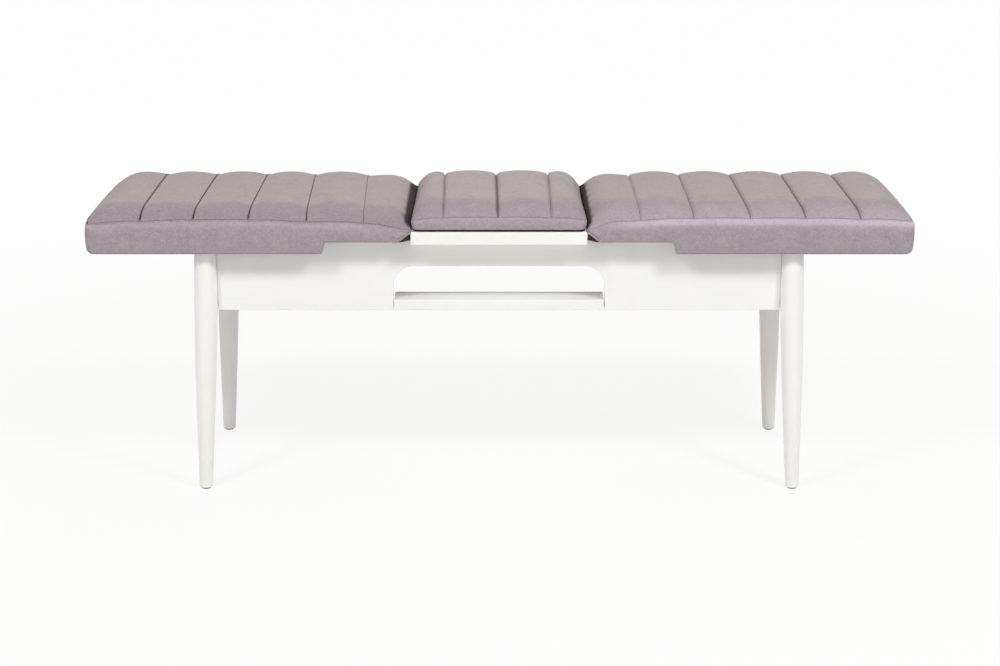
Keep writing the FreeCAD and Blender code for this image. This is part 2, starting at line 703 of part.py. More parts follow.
def make_rollers():
    """All the rollers of the left half's two slides, and their right-hand twins."""
    rollers = new_body("left_rollers")
    rollers.AllowCompound = True
    roller = rollers.newObject("PartDesign::AdditiveCylinder", "roller")
    roller.setExpression("Radius", bind("roller_dia / 2"))
    roller.setExpression("Height", bind("roller_length"))
    roller.setExpression("AttachmentOffset.Base.x", bind("-(cage_out) + cage_margin"))
    roller.setExpression("AttachmentOffset.Base.y", bind("race_offset"))
    roller.setExpression("AttachmentOffset.Base.z", bind("apron_back - roller_middle - roller_length / 2"))
    roller.AttachmentSupport = (datum(rollers, "XZ_Plane"), "")
    roller.MapMode = "FlatFace"
    doc.recompute()
    every = rollers.newObject("PartDesign::MultiTransform", "all_rollers")
    every.Originals = [roller]
    row = rollers.newObject("PartDesign::LinearPattern", "roller_row")
    set_row(row, rollers)
    below = rollers.newObject("PartDesign::Mirrored", "lower_rollers")
    below.MirrorPlane = (datum(rollers, "XY_Plane"), [""])
    behind = rollers.newObject("PartDesign::Mirrored", "back_rollers")
    behind.MirrorPlane = (datum(rollers, "XZ_Plane"), [""])
    every.Transformations = [row, below, behind]
    rollers.Tip = every
    place(rollers, "0", "0", "slide_middle")
    keep_both_ends(rollers, "rollers")


def footprint(inset="0"):
    """Outline of a left seat half seen from above, inset all round."""
    radius = "(corner_round - (%s))" % inset
    out = "(outer_end - (%s))" % inset
    deep = "(half_depth - (%s))" % inset
    corners = [
        ("-(inner_end) - (%s)" % inset, "-%s" % deep),
        ("-(inner_end) - (%s)" % inset, deep),
        ("-%s + %s" % (out, radius), deep),
        ("-%s" % out, "%s - %s" % (deep, radius)),
        ("-%s" % out, "-%s + %s" % (deep, radius)),
        ("-%s + %s" % (out, radius), "-%s" % deep),
    ]
    return corners, {2: (radius, True), 4: (radius, True)}


def fold_corners(body, name, low, start, depth):
    """Cut the lower edge up towards the leaf at both long sides, as the folded fabric runs."""
    sketch = new_sketch(body, "XZ_Plane", name + "_outline", "half_depth")
    draw_outline(sketch, [
        ("-(inner_end) - (%s)" % start, low),
        ("-(inner_end) + overcut", low),
        ("-(inner_end) + overcut", "%s + tuck_height * (1 + overcut / (%s))" % (low, start)),
    ])
    first = pocket(body, sketch, name, depth)
    mirror_feature(body, first, "XZ_Plane", name + "_behind")


def make_seat_half():
    """Boards, strips and fabric of the left half, and their right-hand twins."""
    board = new_body("left_seat_board")
    sketch = new_sketch(board, "XY_Plane", "seat_board_outline", "board_low")
    draw_outline(sketch, *footprint("cover_thick"))
    pad(board, sketch, "seat_board_sheet", "seat_board_thick")
    fold_corners(board, "seat_board_corner", "board_low", "tuck_length + cover_thick",
                 "tuck_depth + cover_thick")

    strip = new_body("left_front_skirt_strip")
    sketch = new_sketch(strip, "XY_Plane", "skirt_strip_outline", "skirt_low + cover_thick")
    out = "(outer_end - cover_thick)"
    deep = "(half_depth - cover_thick)"
    radius = "(corner_round - cover_thick)"
    end = "(skirt_end + skirt_slant + cover_thick)"
    draw_outline(sketch, [
        ("-%s" % end, "-%s" % deep),
        ("-%s" % end, "-%s + skirt_strip_thick" % deep),
        ("-%s" % out, "-%s + skirt_strip_thick" % deep),
        ("-%s" % out, "-%s + %s" % (deep, radius)),
        ("-%s + %s" % (out, radius), "-%s" % deep),
    ], {3: (radius, True)})
    pad(strip, sketch, "skirt_strip_wood", "board_low - skirt_low - cover_thick")
    back_strip = mirrored_node(strip, "left_back_skirt_strip", (0, 1, 0))
    end_strip = box("left_end_skirt_strip",
                    ("-%s" % out, "-%s + skirt_strip_thick" % deep, "skirt_low + cover_thick"),
                    ("-%s + skirt_strip_thick" % out, "%s - skirt_strip_thick" % deep, "board_low"))

    dust = box("left_dust_cover",
               ("-(outer_end - wrap_return)", "-(half_depth - wrap_return)", "under"),
               ("-(inner_end + wrap_return)", "half_depth - wrap_return", "board_low"))

    jacket = new_body("left_cover_outside")
    sketch = new_sketch(jacket, "XY_Plane", "cover_outline", "under")
    draw_outline(sketch, *footprint())
    pad(jacket, sketch, "cover_side", "board_top - under")
    sketch = new_sketch(jacket, "XY_Plane", "skirt_outline", "skirt_low")
    draw_outline(sketch, [
        ("-(skirt_end)", "-(half_depth)"),
        ("-(skirt_end)", "-(half_depth) + skirt_wall"),
        ("-(outer_end) + skirt_wall", "-(half_depth) + skirt_wall"),
        ("-(outer_end) + skirt_wall", "half_depth - skirt_wall"),
        ("-(skirt_end)", "half_depth - skirt_wall"),
        ("-(skirt_end)", "half_depth"),
        ("-(outer_end) + corner_round", "half_depth"),
        ("-(outer_end)", "half_depth - corner_round"),
        ("-(outer_end)", "-(half_depth) + corner_round"),
        ("-(outer_end) + corner_round", "-(half_depth)"),
    ], {6: ("corner_round", True), 8: ("corner_round", True)})
    pad(jacket, sketch, "skirt", "skirt_drop")
    slant = new_sketch(jacket, "XZ_Plane", "skirt_slant_outline", "half_depth")
    draw_outline(slant, [
        ("-(skirt_end)", "skirt_low"),
        ("-(skirt_end)", "under"),
        ("-(skirt_end) - skirt_slant", "skirt_low"),
    ])
    pocket(jacket, slant, "skirt_slant", "seat_depth")
    fold_corners(jacket, "cover_corner", "under", "tuck_length", "tuck_depth")
    filling = doc.addObject("Part::MultiFuse", "left_cover_filling")
    filling.Shapes = [board, strip, back_strip, end_strip, dust]

    keep_both_ends(board, "seat_board")
    keep_both_ends(strip, "front_skirt_strip")
    mirrored_node(back_strip, "right_back_skirt_strip", (1, 0, 0))
    keep_both_ends(end_strip, "end_skirt_strip")
    keep_both_ends(dust, "dust_cover")
    keep_both_ends(cut("left_cover", jacket, filling), "cover")

    batten = box("left_front_batten", ("-(inner_out)", "-(slide_face)", "under - batten_height"),
                 ("-(inner_out - inner_length)", "-(slide_face - batten_thick)", "under"))
    keep_both_ends(batten, "front_batten")
    back_batten = mirrored_node(batten, "left_back_batten", (0, 1, 0))
    mirrored_node(back_batten, "right_back_batten", (1, 0, 0))


def stations(half, radius):
    """Where a cushion's cross-sections stand, front to back: the place, the share of the crown reached
    there, and how far the rounded corner has come in."""
    round_part = 0.3
    inner_parts = (0.75, 0.4)
    near = "(%s) - %g * (%s)" % (half, round_part, radius)
    full = "(%s) - (%s)" % (half, radius)
    ahead = [(near, "(1 - sqrt(1 - %g ^ 2)) * (%s)" % (1 - round_part, radius)), (full, "0")]
    ahead += [("%g * (%s)" % (part, half), "0") for part in inner_parts]
    front = [(half, "0", radius)]
    for where, come_in in ahead:
        front.append((where, "sqrt(1 - ((%s) / (%s)) ^ 3)" % (where, half), come_in))
    back = [("-(%s)" % where, share, come_in) for where, share, come_in in reversed(front)]
    return front + [("0", "1", "0")] + back


def puffed_arc(left, right, puff):
    """Radius of the arc between two seams that stands up by puff."""
    run = "((%s) - (%s))" % (right[0], left[0])
    rise = "((%s) - (%s))" % (right[1], left[1])
    return "(%s ^ 2 + %s ^ 2) / (8 * (%s)) + (%s) / 2" % (run, rise, puff, puff)


def channelled_cushion(name, floor, rows):
    """Loft through upright cross-sections. Each has a flat floor, two sides and one arc for a channel."""
    body = new_body(name)
    sections = []
    for index, (where, seams, puffs) in enumerate(rows):
        sketch = new_sketch(body, "XZ_Plane", "%s_section_%d" % (name, index), where)
        left_end, right_end = seams[0], seams[-1]
        corners = [(left_end[0], floor), (right_end[0], floor)] + list(reversed(seams))
        arcs = {}
        for step in range(len(seams) - 1):
            right = seams[len(seams) - 1 - step]
            left = seams[len(seams) - 2 - step]
            arcs[2 + step] = (puffed_arc(left, right, puffs[len(puffs) - 1 - step]), True)
        draw_outline(sketch, corners, arcs)
        sections.append(sketch)
    loft = body.newObject("PartDesign::AdditiveLoft", name + "_form")
    loft.Profile = sections[0]
    loft.Sections = sections[1:]
    loft.Ruled = True
    return body


def make_half_cushions():
    """Padded top of a half: six channels across it, crowned, and drawn down beside the leaf."""
    rows = []
    for where, share, come_in in stations("half_depth", "corner_round"):
        edge = "board_top + edge_rise"
        seams = [("-(outer_end) + (%s) + draw_in * %s" % (come_in, share),
                  "%s - end_drop + end_crown * %s" % (edge, share))]
        for step in range(1, 6):
            seams.append(("-(outer_end) + %d * channel_width" % step, "%s + crown_rise * %s" % (edge, share)))
        seams.append(("-(inner_end)", "%s - inner_drop + inner_crown * %s" % (edge, share)))
        plain = "edge_puff + (middle_puff - edge_puff) * %s" % share
        last = "edge_puff + (end_puff - edge_puff) * %s" % share
        rows.append((where, seams, [last] + 4 * [plain] + [last]))
    body = channelled_cushion("left_cushion", "board_top", rows)
    keep_both_ends(body, "cushion")


def make_leaf():
    """Loose leaf: a lacquered board with locating strips below and a padded top."""
    board = new_body("leaf_board")
    sketch = new_sketch(board, "XY_Plane", "leaf_board_outline", "leaf_low")
    draw_outline(sketch, [
        ("-(leaf_end)", "-(half_depth)"),
        ("leaf_end", "-(half_depth)"),
        ("leaf_end", "half_depth"),
        ("-(leaf_end)", "half_depth"),
    ])
    pad(board, sketch, "leaf_board_sheet", "leaf_board_thick")
    soften_edges(board, "leaf_board_edges", lambda edge: edge.BoundBox.ZLength < 0.01)
    keep(board, "leaf_board")

    cleats = []
    for side, name in (("-1", "front"), ("1", "back")):
        near = "%s * (apron_back - cleat_gap)" % side
        far = "%s * (apron_back - cleat_gap - cleat_width)" % side
        low, high = (near, far) if side == "-1" else (far, near)
        cleats.append(box("cleat_" + name, ("-(cleat_length / 2)", low, "leaf_low - cleat_thick"),
                          ("cleat_length / 2", high, "leaf_low")))
    keep(group("leaf_cleats", cleats), "leaf_cleats")

    base = box("leaf_pad_base",
               ("-(pad_end - cover_thick)", "-(pad_half - cover_thick)", "leaf_top"),
               ("pad_end - cover_thick", "pad_half - cover_thick", "pad_top"))
    keep(base, "leaf_pad_base")

    rows = []
    for where, share, come_in in stations("pad_half", "pad_round"):
        edge = "pad_top + leaf_edge_rise"
        end_height = "%s - leaf_end_drop + leaf_end_crown * %s" % (edge, share)
        seams = [("-(pad_end) + (%s)" % come_in, end_height)]
        for step in ("-1", "0", "1"):
            seams.append(("%s * leaf_channel_width" % step, "%s + leaf_crown_rise * %s" % (edge, share)))
        seams.append(("pad_end - (%s)" % come_in, end_height))
        plain = "edge_puff + (middle_puff - edge_puff) * %s" % share
        rows.append((where, seams, 4 * [plain]))
    top = channelled_cushion("leaf_cushion_top", "pad_top", rows)
    band = new_body("leaf_cushion_band")
    sketch = new_sketch(band, "XY_Plane", "leaf_band_outline", "leaf_top")
    draw_outline(sketch, [
        ("-(pad_end) + pad_round", "-(pad_half)"),
        ("pad_end - pad_round", "-(pad_half)"),
        ("pad_end", "-(pad_half) + pad_round"),
        ("pad_end", "pad_half - pad_round"),
        ("pad_end - pad_round", "pad_half"),
        ("-(pad_end) + pad_round", "pad_half"),
        ("-(pad_end)", "pad_half - pad_round"),
        ("-(pad_end)", "-(pad_half) + pad_round"),
    ], {index: ("pad_round", True) for index in (1, 3, 5, 7)})
    pad(band, sketch, "leaf_band", "pad_base_thick")
    hollow = cut("leaf_band_round_board", band, base)
    whole = doc.addObject("Part::MultiFuse", "leaf_cushion")
    whole.Shapes = [top, hollow]
    keep(whole, "leaf_cushion")


def check_and_write():
    doc.recompute()
    for item in doc.Objects:
        if "Invalid" in item.State or "Error" in item.State:
            raise RuntimeError("%s is %s" % (item.Label, item.State))
    for name, item in nodes.items():
        shape = item.Shape
        if shape.isNull() or not shape.isValid() or not shape.Solids:
            raise RuntimeError(name + " has no valid solid")
    os.makedirs("parts", exist_ok=True)
    for name, item in nodes.items():
        item.Shape.exportStep(os.path.join("parts", name + ".step"))
        bounds = item.Shape.BoundBox
        print("%-28s %2d solids  X %8.1f %8.1f  Y %7.1f %7.1f  Z %6.1f %6.1f  %9.0f mm3" % (
            name, len(item.Shape.Solids), bounds.XMin, bounds.XMax, bounds.YMin, bounds.YMax,
            bounds.ZMin, bounds.ZMax, item.Shape.Volume))


make_long_aprons()
make_end_aprons()
make_rail()
make_legs()
make_corner_plates()
make_bolts()
make_feet_and_strips()
make_slides()
make_seat_half()
make_half_cushions()
make_leaf()
check_and_write()
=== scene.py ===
import bmesh
import bpy
import math
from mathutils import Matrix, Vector, noise


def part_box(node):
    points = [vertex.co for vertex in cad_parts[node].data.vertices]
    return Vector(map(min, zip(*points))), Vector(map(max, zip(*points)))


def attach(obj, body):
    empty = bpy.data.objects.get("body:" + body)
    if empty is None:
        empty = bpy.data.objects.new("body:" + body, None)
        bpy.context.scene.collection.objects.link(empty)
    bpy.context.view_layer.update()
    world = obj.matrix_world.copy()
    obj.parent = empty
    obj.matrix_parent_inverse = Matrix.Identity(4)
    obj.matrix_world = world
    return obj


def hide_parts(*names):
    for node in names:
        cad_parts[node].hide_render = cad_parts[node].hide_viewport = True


bl_info = {
    "name": "Drawn-apart Upholstered Bench",
    "version": (1, 0, 0),
    "blender": (4, 5, 0),
    "location": "3D View > Sidebar > Bench",
    "description": "Pads, finishes and studio for the extendable bench",
    "category": "Object",
}

# Metres, +Z up, the front of the bench at -Y. The solids are loaded first, so that sizes below can be
# taken from them.
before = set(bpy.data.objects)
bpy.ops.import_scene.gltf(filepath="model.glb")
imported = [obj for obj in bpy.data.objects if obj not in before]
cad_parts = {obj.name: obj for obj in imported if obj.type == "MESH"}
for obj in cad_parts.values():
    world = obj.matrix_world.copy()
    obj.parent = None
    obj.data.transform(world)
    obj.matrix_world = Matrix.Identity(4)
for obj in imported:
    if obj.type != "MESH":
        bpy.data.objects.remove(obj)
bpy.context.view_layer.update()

FABRIC_SAG = 0.0010
INNER_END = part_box("right_cover")[0].x
OUTER_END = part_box("right_cover")[1].x
FRONT = -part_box("right_cover")[1].y
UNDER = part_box("right_dust_cover")[0].z
SKIRT_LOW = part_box("right_cover")[0].z - FABRIC_SAG
LEAF_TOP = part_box("leaf_board")[1].z
LEAF_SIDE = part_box("leaf_cushion")[1].x
LEAF_FRONT = -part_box("leaf_cushion")[1].y

CHANNEL_WIDTH = 0.0935
LEAF_CHANNEL_WIDTH = 0.092

# Turns of even ripples, in radians for each metre: a stitch every 3.6 mm, a ply every 2.6 mm and a weld
# every 3.9 mm.
STITCH_TURN = 1750
PLY_TURN = 2400
WELD_TURN = 1600

COOL_WHITE = (0.965, 0.985, 1.0)

# Name, place, what it points at, size, watts and colour of each lamp.
LAMPS = (
    ("left", (-1.6, -1.8, 2.7), (0.0, 0.0, 0.40), 0.55, 36.3, COOL_WHITE),
    ("right", (1.8, -1.8, 2.7), (0.0, 0.0, 0.40), 0.55, 44.4, COOL_WHITE),
    ("back", (0.2, 2.2, 2.6), (0.0, 0.0, 0.45), 1.8, 13, (1.0, 1.0, 1.0)),
)
ROOM_COLOUR = (1.0, 0.962, 0.895)
ROOM_STRENGTH = 0.445
CAMERA_PLACE = (0, -3.3554, 1.2443)
CAMERA_TILT = math.radians(73.3)
CAMERA_LENS = 69.75
CAMERA_SHIFT = 0.001
CAMERA_SENSOR = 36
FLOOR_SIZE = 24
SMOOTH_BELOW = math.radians(35)


def linear(red, green, blue):
    """Colour as the eye sees it, 0 to 255, as the shader wants it."""
    def one(value):
        value = value / 255
        return value / 12.92 if value <= 0.04045 else ((value + 0.055) / 1.055) ** 2.4
    return (one(red), one(green), one(blue))


class BenchSizes(bpy.types.PropertyGroup):
    """Sizes of the padding."""

    channel_puff: bpy.props.FloatProperty(
        name="Channel swell", description="Rise of a channel over its seams", default=0.0092, unit="LENGTH")
    valley_height: bpy.props.FloatProperty(
        name="Valley height", description="Floor to the channel seams in the middle", default=0.4980,
        unit="LENGTH")
    seam_depth: bpy.props.FloatProperty(
        name="Seam depth", description="How deep the thread pulls a seam in", default=0.0032, unit="LENGTH")


class BenchColours(bpy.types.PropertyGroup):
    """Colours of the finishes."""

    # The top takes pile_up, and the walls and the front strip of the top pile_down: partly the pile's
    # direction, partly painted shade on faces turned from the light.
    pile_up: bpy.props.FloatVectorProperty(
        name="Pile brushed up", description="Velvet where the pile leans back", subtype="COLOR",
        default=linear(174, 165, 165), min=0, max=1)
    pile_down: bpy.props.FloatVectorProperty(
        name="Pile brushed down", description="Velvet where the pile hangs", subtype="COLOR",
        default=linear(163, 152, 159), min=0, max=1)
    # Painted highlight, laid on the velvet's walls where the light falls strongest.
    painted_highlight: bpy.props.FloatVectorProperty(
        name="Pile in the light", description="Velvet where the pile catches the light", subtype="COLOR",
        default=linear(207, 194, 208), min=0, max=1)
    # Colour of the seams, partly their sewn line and partly painted shade; darkened, it is also the painted
    # shade of the inner ends.
    thread: bpy.props.FloatVectorProperty(
        name="Seam shade", description="Velvet deep in a seam", subtype="COLOR",
        default=linear(56, 40, 37), min=0, max=1)
    lacquer: bpy.props.FloatVectorProperty(
        name="Lacquer", description="White of the boards and legs", subtype="COLOR",
        default=linear(246, 246, 244), min=0, max=1)


def clamp(value):
    """The value, or 0 or 1 where it is past them."""
    return max(0.0, min(1.0, value))


def ease(value, power):
    """Quick rise from 0 that levels out at 1."""
    return 1 - (1 - clamp(value)) ** power


def smooth(value):
    """Soft rise from 0 to 1."""
    value = clamp(value)
    return value * value * (3 - 2 * value)


def bell(distance, width):
    """Soft bump, 1 in its middle."""
    return math.exp(-(distance / width) ** 2)


def through(points, value):
    """Soft curve through points of place and height."""
    if value <= points[0][0]:
        return points[0][1]
    for (start, low), (end, high) in zip(points, points[1:]):
        if value <= end:
            return low + (high - low) * smooth((value - start) / (end - start))
    return points[-1][1]


# Shader sums

class Wire:
    """An output socket that takes part in sums."""

    def __init__(self, tree, socket):
        self.tree = tree
        self.socket = socket

    def sum(self, operation, first, second=None):
        made = self.tree.nodes.new("ShaderNodeMath")
        made.operation = operation
        for place, value in enumerate(item for item in (first, second) if item is not None):
            if isinstance(value, Wire):
                self.tree.links.new(value.socket, made.inputs[place])
            else:
                made.inputs[place].default_value = value
        return Wire(self.tree, made.outputs[0])

    def __add__(self, other):
        return self.sum("ADD", self, other)

    def __sub__(self, other):
        return self.sum("SUBTRACT", self, other)

    def __rsub__(self, other):
        return self.sum("SUBTRACT", other, self)

    def __mul__(self, other):
        return self.sum("MULTIPLY", self, other)

    def __truediv__(self, other):
        return self.sum("DIVIDE", self, other)

    def __rtruediv__(self, other):
        return self.sum("DIVIDE", other, self)

    def __abs__(self):
        return self.sum("ABSOLUTE", self)

    __radd__ = __add__
    __rmul__ = __mul__

    def sine(self):
        return self.sum("SINE", self)

    def nearest(self):
        return self.sum("ROUND", self)

    def most(self, other):
        return self.sum("MAXIMUM", self, other)

    def step(self, start, end):
        """0 before start, 1 after end, smooth between them."""
        made = self.tree.nodes.new("ShaderNodeMapRange")
        made.interpolation_type = "SMOOTHSTEP"
        self.tree.links.new(self.socket, made.inputs["Value"])
        made.inputs["From Min"].default_value = start
        made.inputs["From Max"].default_value = end
        return Wire(self.tree, made.outputs["Result"])


class Nodes:
    """A node tree that is built up node by node."""

    def __init__(self, tree):
        self.tree = tree

    def feed(self, socket, value):
        if isinstance(value, Wire):
            self.tree.links.new(value.socket, socket)
        elif hasattr(value, "__len__") and len(value) == 3 and socket.type == "RGBA":
            socket.default_value = (*value, 1)
        else:
            socket.default_value = value

    def node(self, kind, settings, sockets, output=0):
        made = self.tree.nodes.new(kind)
        for key, value in settings.items():
            setattr(made, key, value)
        for key, value in sockets.items():
            self.feed(made.inputs[key], value)
        return Wire(self.tree, made.outputs[output])

    def looked_at(self):
        """1 for the camera, reflections and glass, 0 for the light that falls on things."""
        rays = [self.node("ShaderNodeLightPath", {}, {}, name)
                for name in ("Is Camera Ray", "Is Glossy Ray", "Is Transmission Ray")]
        return rays[0].most(rays[1]).most(rays[2])


class Finish(Nodes):
    """One procedural material on a Principled shader."""

    def __init__(self, name, constants):
        self.material = bpy.data.materials.new(name)
        self.material.use_nodes = True
        super().__init__(self.material.node_tree)
        self.shader = self.tree.nodes["Principled BSDF"]
        for socket, value in constants.items():
            self.feed(self.shader.inputs[socket], value)

    def place(self):
        return self.node("ShaderNodeTexCoord", {}, {}, "Object")

    def along(self, axis):
        return self.node("ShaderNodeSeparateXYZ", {}, {"Vector": self.place()}, axis)

    def stored(self, name):
        """What a pad's mesh says at each point."""
        return self.node("ShaderNodeAttribute", {"attribute_name": name}, {}, "Fac")

    def ripples(self, axis, turn):
        """Even waves along one axis, from 0 to 1."""
        return (self.along(axis) * turn).sine() * 0.5 + 0.5

    def clouds(self, scale, detail, rough, stretch=None):
        vector = self.place()
        if stretch:
            vector = self.node("ShaderNodeMapping", {}, {"Vector": vector, "Scale": stretch})
        return self.node("ShaderNodeTexNoise", {}, {
            "Vector": vector, "Scale": scale, "Detail": detail, "Roughness": rough}, "Fac")

    def blend(self, factor, first, second):
        return self.node("ShaderNodeMix", {"data_type": "RGBA"}, {0: factor, 6: first, 7: second}, 2)

    def relief(self, height, distance, strength):
        bump = self.node("ShaderNodeBump", {}, {
            "Height": height, "Distance": distance, "Strength": strength})
        self.feed(self.shader.inputs["Normal"], bump)

    def colour(self, wire):
        self.feed(self.shader.inputs["Base Color"], wire)

    def rough(self, wire):
        self.feed(self.shader.inputs["Roughness"], wire)


def shaded(colour, factor):
    return tuple(clamp(part * factor) for part in colour)


def velvet(colours):
    """Short-pile velvet: brushed patches, fine speckle, and its seams with their stitches, with painted
    highlight and painted shade in its colour.
    """
    made = Finish("velvet", {
        "Roughness": 0.88, "Specular IOR Level": 0.09, "Sheen Weight": 0.045, "Sheen Roughness": 0.45,
        "Sheen Tint": (0.9, 0.86, 0.9)})

    def patchy(body, cloud, light, dark):
        """Lift the colour on the cloud's crests and sink it in its troughs."""
        for (end, share, factor), pile in ((light, colours.pile_up), (dark, colours.pile_down)):
            body = made.blend(cloud.step(0.50, end) * share, body, shaded(pile, factor))
        return body

    patches = made.clouds(16, 4.0, 0.6)
    edges = made.clouds(75, 3.0, 0.65)
    # The darker, more mauve pile on the walls and the front strip of the top: partly the pile's direction,
    # partly painted shade on faces turned from the light.
    hanging = (made.stored("brushed") + (patches - 0.5) * 1.3 + (edges - 0.5) * 0.8).step(0.22, 0.80)
    body = made.blend(hanging, colours.pile_up, colours.pile_down)
    wide = made.clouds(30, 4.0, 0.65, stretch=(1.0, 0.7, 1.6))
    body = patchy(body, wide, (0.80, 0.30, 1.20), (0.25, 0.34, 0.84))

    # Painted light: a streaked painted highlight where the value is above 0, painted shade where it is
    # below 0.
    streaks = made.clouds(26, 2.0, 0.5, stretch=(1.0, 1.0, 0.2)) * 0.6 + 0.7
    tone = made.stored("tone")
    body = made.blend(tone.most(0.0) * streaks * 0.85, body, colours.painted_highlight)
    body = made.blend((0.0 - tone).most(0.0) * streaks * 0.75, body, shaded(colours.pile_down, 0.72))

    mottle = made.clouds(190, 2.0, 0.6, stretch=(0.8, 1.0, 1.0))
    body = patchy(body, mottle, (0.78, 0.22, 1.35), (0.22, 0.24, 0.70))
    speckle = made.clouds(520, 3.0, 0.75)
    body = patchy(body, speckle, (0.70, 0.34, 1.40), (0.30, 0.34, 0.62))

    channel = made.stored("channel")
    from_seam = abs(channel - channel.nearest()) * (CHANNEL_WIDTH * 1000)
    # The seams: their sewn line, with painted shade over it that is strongest on the left half.
    body = made.blend(sewn_lines(made, channel, from_seam), body, colours.thread)
    # Painted shade on the inner ends beside the leaf and on the undersides of the folded corners.
    body = made.blend(made.stored("hollow") * 0.95, body, shaded(colours.thread, 0.65))
    made.colour(body)
    made.rough(0.84 + speckle * 0.1)
    pucker = made.clouds(95, 2.0, 0.5, stretch=(0.6, 1.6, 0.6)) * (1 - from_seam.step(2.0, 16.0))
    made.relief(speckle * 0.45 + made.clouds(48, 4.0, 0.6) * 2.2 + pucker * 1.6, 0.0020, 0.6)
    return made.material


def sewn_lines(made, channel, from_seam):
    """How much of the seam colour shows along the channel seams and the sewn edge: the sewn line, with
    painted shade added on the channel seams where thread is high. Distances from them are in millimetres."""
    drop = made.stored("drop")
    thread = made.stored("thread")
    across, along = [made.ripples(axis, STITCH_TURN).step(0.15, 0.7) for axis in ("Y", "X")]
    half_width = 0.35 + thread * 1.05 + thread * thread * 0.35
    seam = (1 - (from_seam / half_width).step(0.5, 1.9)) * (0.40 + thread * 0.60)
    on_top = drop.step(-0.0005, -0.002) * channel.step(0.32, 0.42)
    sewn_edge = 1 - abs(drop * 1000 + 0.2).step(0.15, 1.0)
    return (seam * on_top * (0.86 + across * 0.14)).most(sewn_edge * (0.25 + along * 0.26))


def white_lacquer(colours):
    """Satin white lacquer on fibre board and on the turned legs."""
    made = Finish("white_lacquer", {
        "Roughness": 0.34, "Specular IOR Level": 0.42, "Coat Weight": 0.12, "Coat Roughness": 0.2})
    drift = made.clouds(7, 3.0, 0.5)
    fibres = made.clouds(130, 3.0, 0.6, stretch=(0.12, 1.0, 1.0))
    body = made.blend(drift.step(0.3, 0.75) * 0.35, colours.lacquer, linear(246, 246, 246))
    made.colour(made.blend(fibres.step(0.5, 0.8) * 0.10, body, linear(224, 222, 216)))
    made.rough(0.30 + fibres * 0.10)
    made.relief(made.clouds(420, 2.0, 0.5) * 0.5 + fibres * 0.5, 0.00035, 0.35)
    return made.material


def raw_plywood():
    """Sanded plywood with its plies at the edges."""
    made = Finish("raw_plywood", {"Roughness": 0.72, "Specular IOR Level": 0.25})
    grain = made.clouds(60, 4.0, 0.6, stretch=(0.12, 1.0, 0.4))
    plies = made.ripples("Z", PLY_TURN).step(0.35, 0.65)
    body = made.blend(grain, linear(205, 182, 142), linear(172, 143, 101))
    made.colour(made.blend(plies * 0.22, body, linear(138, 108, 72)))
    made.rough(0.66 + grain * 0.16)
    made.relief(grain, 0.0006, 0.4)
    return made.material


def waxed_beech():
    """Beech with long grain and short flecks."""
    made = Finish("waxed_beech", {"Roughness": 0.5, "Specular IOR Level": 0.35})
    grain = made.clouds(42, 4.0, 0.6, stretch=(0.08, 1.0, 1.0))
    flecks = made.clouds(520, 1.0, 0.5, stretch=(0.16, 1.0, 1.0)).step(0.60, 0.72)
    body = made.blend(grain, linear(214, 180, 138), linear(188, 148, 104))
    made.colour(made.blend(flecks * 0.45, body, linear(150, 108, 70)))
    made.rough(0.44 + grain * 0.14)
    made.relief(grain * 0.7 + flecks * 0.3, 0.0004, 0.4)
    return made.material


def zinc_steel():
    """Zinc-plated steel with drawn lines and a faint spangle."""
    made = Finish("zinc_steel", {"Metallic": 1.0, "Roughness": 0.34})
    drawn = made.clouds(900, 2.0, 0.6, stretch=(0.03, 1.0, 1.0))
    spangle = made.node("ShaderNodeTexVoronoi", {}, {"Vector": made.place(), "Scale": 220.0}, "Color")
    tint = made.blend(drawn, linear(186, 189, 194), linear(214, 216, 219))
    made.colour(made.blend(0.08, tint, spangle))
    made.rough(0.26 + drawn * 0.2)
    made.relief(drawn, 0.0002, 0.3)
    return made.material


def plain_plastic(name, colour, rough, scale):
    """Moulded plastic or rubber with a fine mould grain."""
    made = Finish(name, {"Roughness": rough, "Specular IOR Level": 0.35})
    grain = made.clouds(scale, 3.0, 0.6)
    made.colour(made.blend(grain.step(0.3, 0.8) * 0.5, colour, shaded(colour, 1.3)))
    made.rough(rough - 0.06 + grain * 0.14)
    made.relief(grain, 0.0003, 0.35)
    return made.material


def spun_lining(name, colour):
    """Thin spun-bonded lining with its pattern of small welds."""
    made = Finish(name, {"Roughness": 0.9, "Specular IOR Level": 0.15})
    fibres = made.clouds(380, 4.0, 0.75)
    welds = ((made.along("X") * WELD_TURN).sine() * (made.along("Y") * WELD_TURN).sine()).step(0.35, 0.7)
    body = made.blend(fibres, shaded(colour, 0.7), shaded(colour, 1.6))
    made.colour(made.blend(welds * 0.4, body, shaded(colour, 0.45)))
    made.rough(0.82 + fibres * 0.14)
    made.relief(fibres * 0.6 - welds * 0.4, 0.0005, 0.5)
    return made.material


# Padding

# How deep the thread and the sewn edge pull the fabric in, how high it puckers there, and how wide.
SEAM_WIDTH = 0.0019
DARK_SEAM_MORE = 0.0013
PUCKER = 0.0007
PUCKER_WIDTH = 0.011
EDGE_DEPTH = 0.0008
EDGE_WIDTH = 0.0016
EDGE_PUCKER = 0.0006
EDGE_PUCKER_WIDTH = 0.010


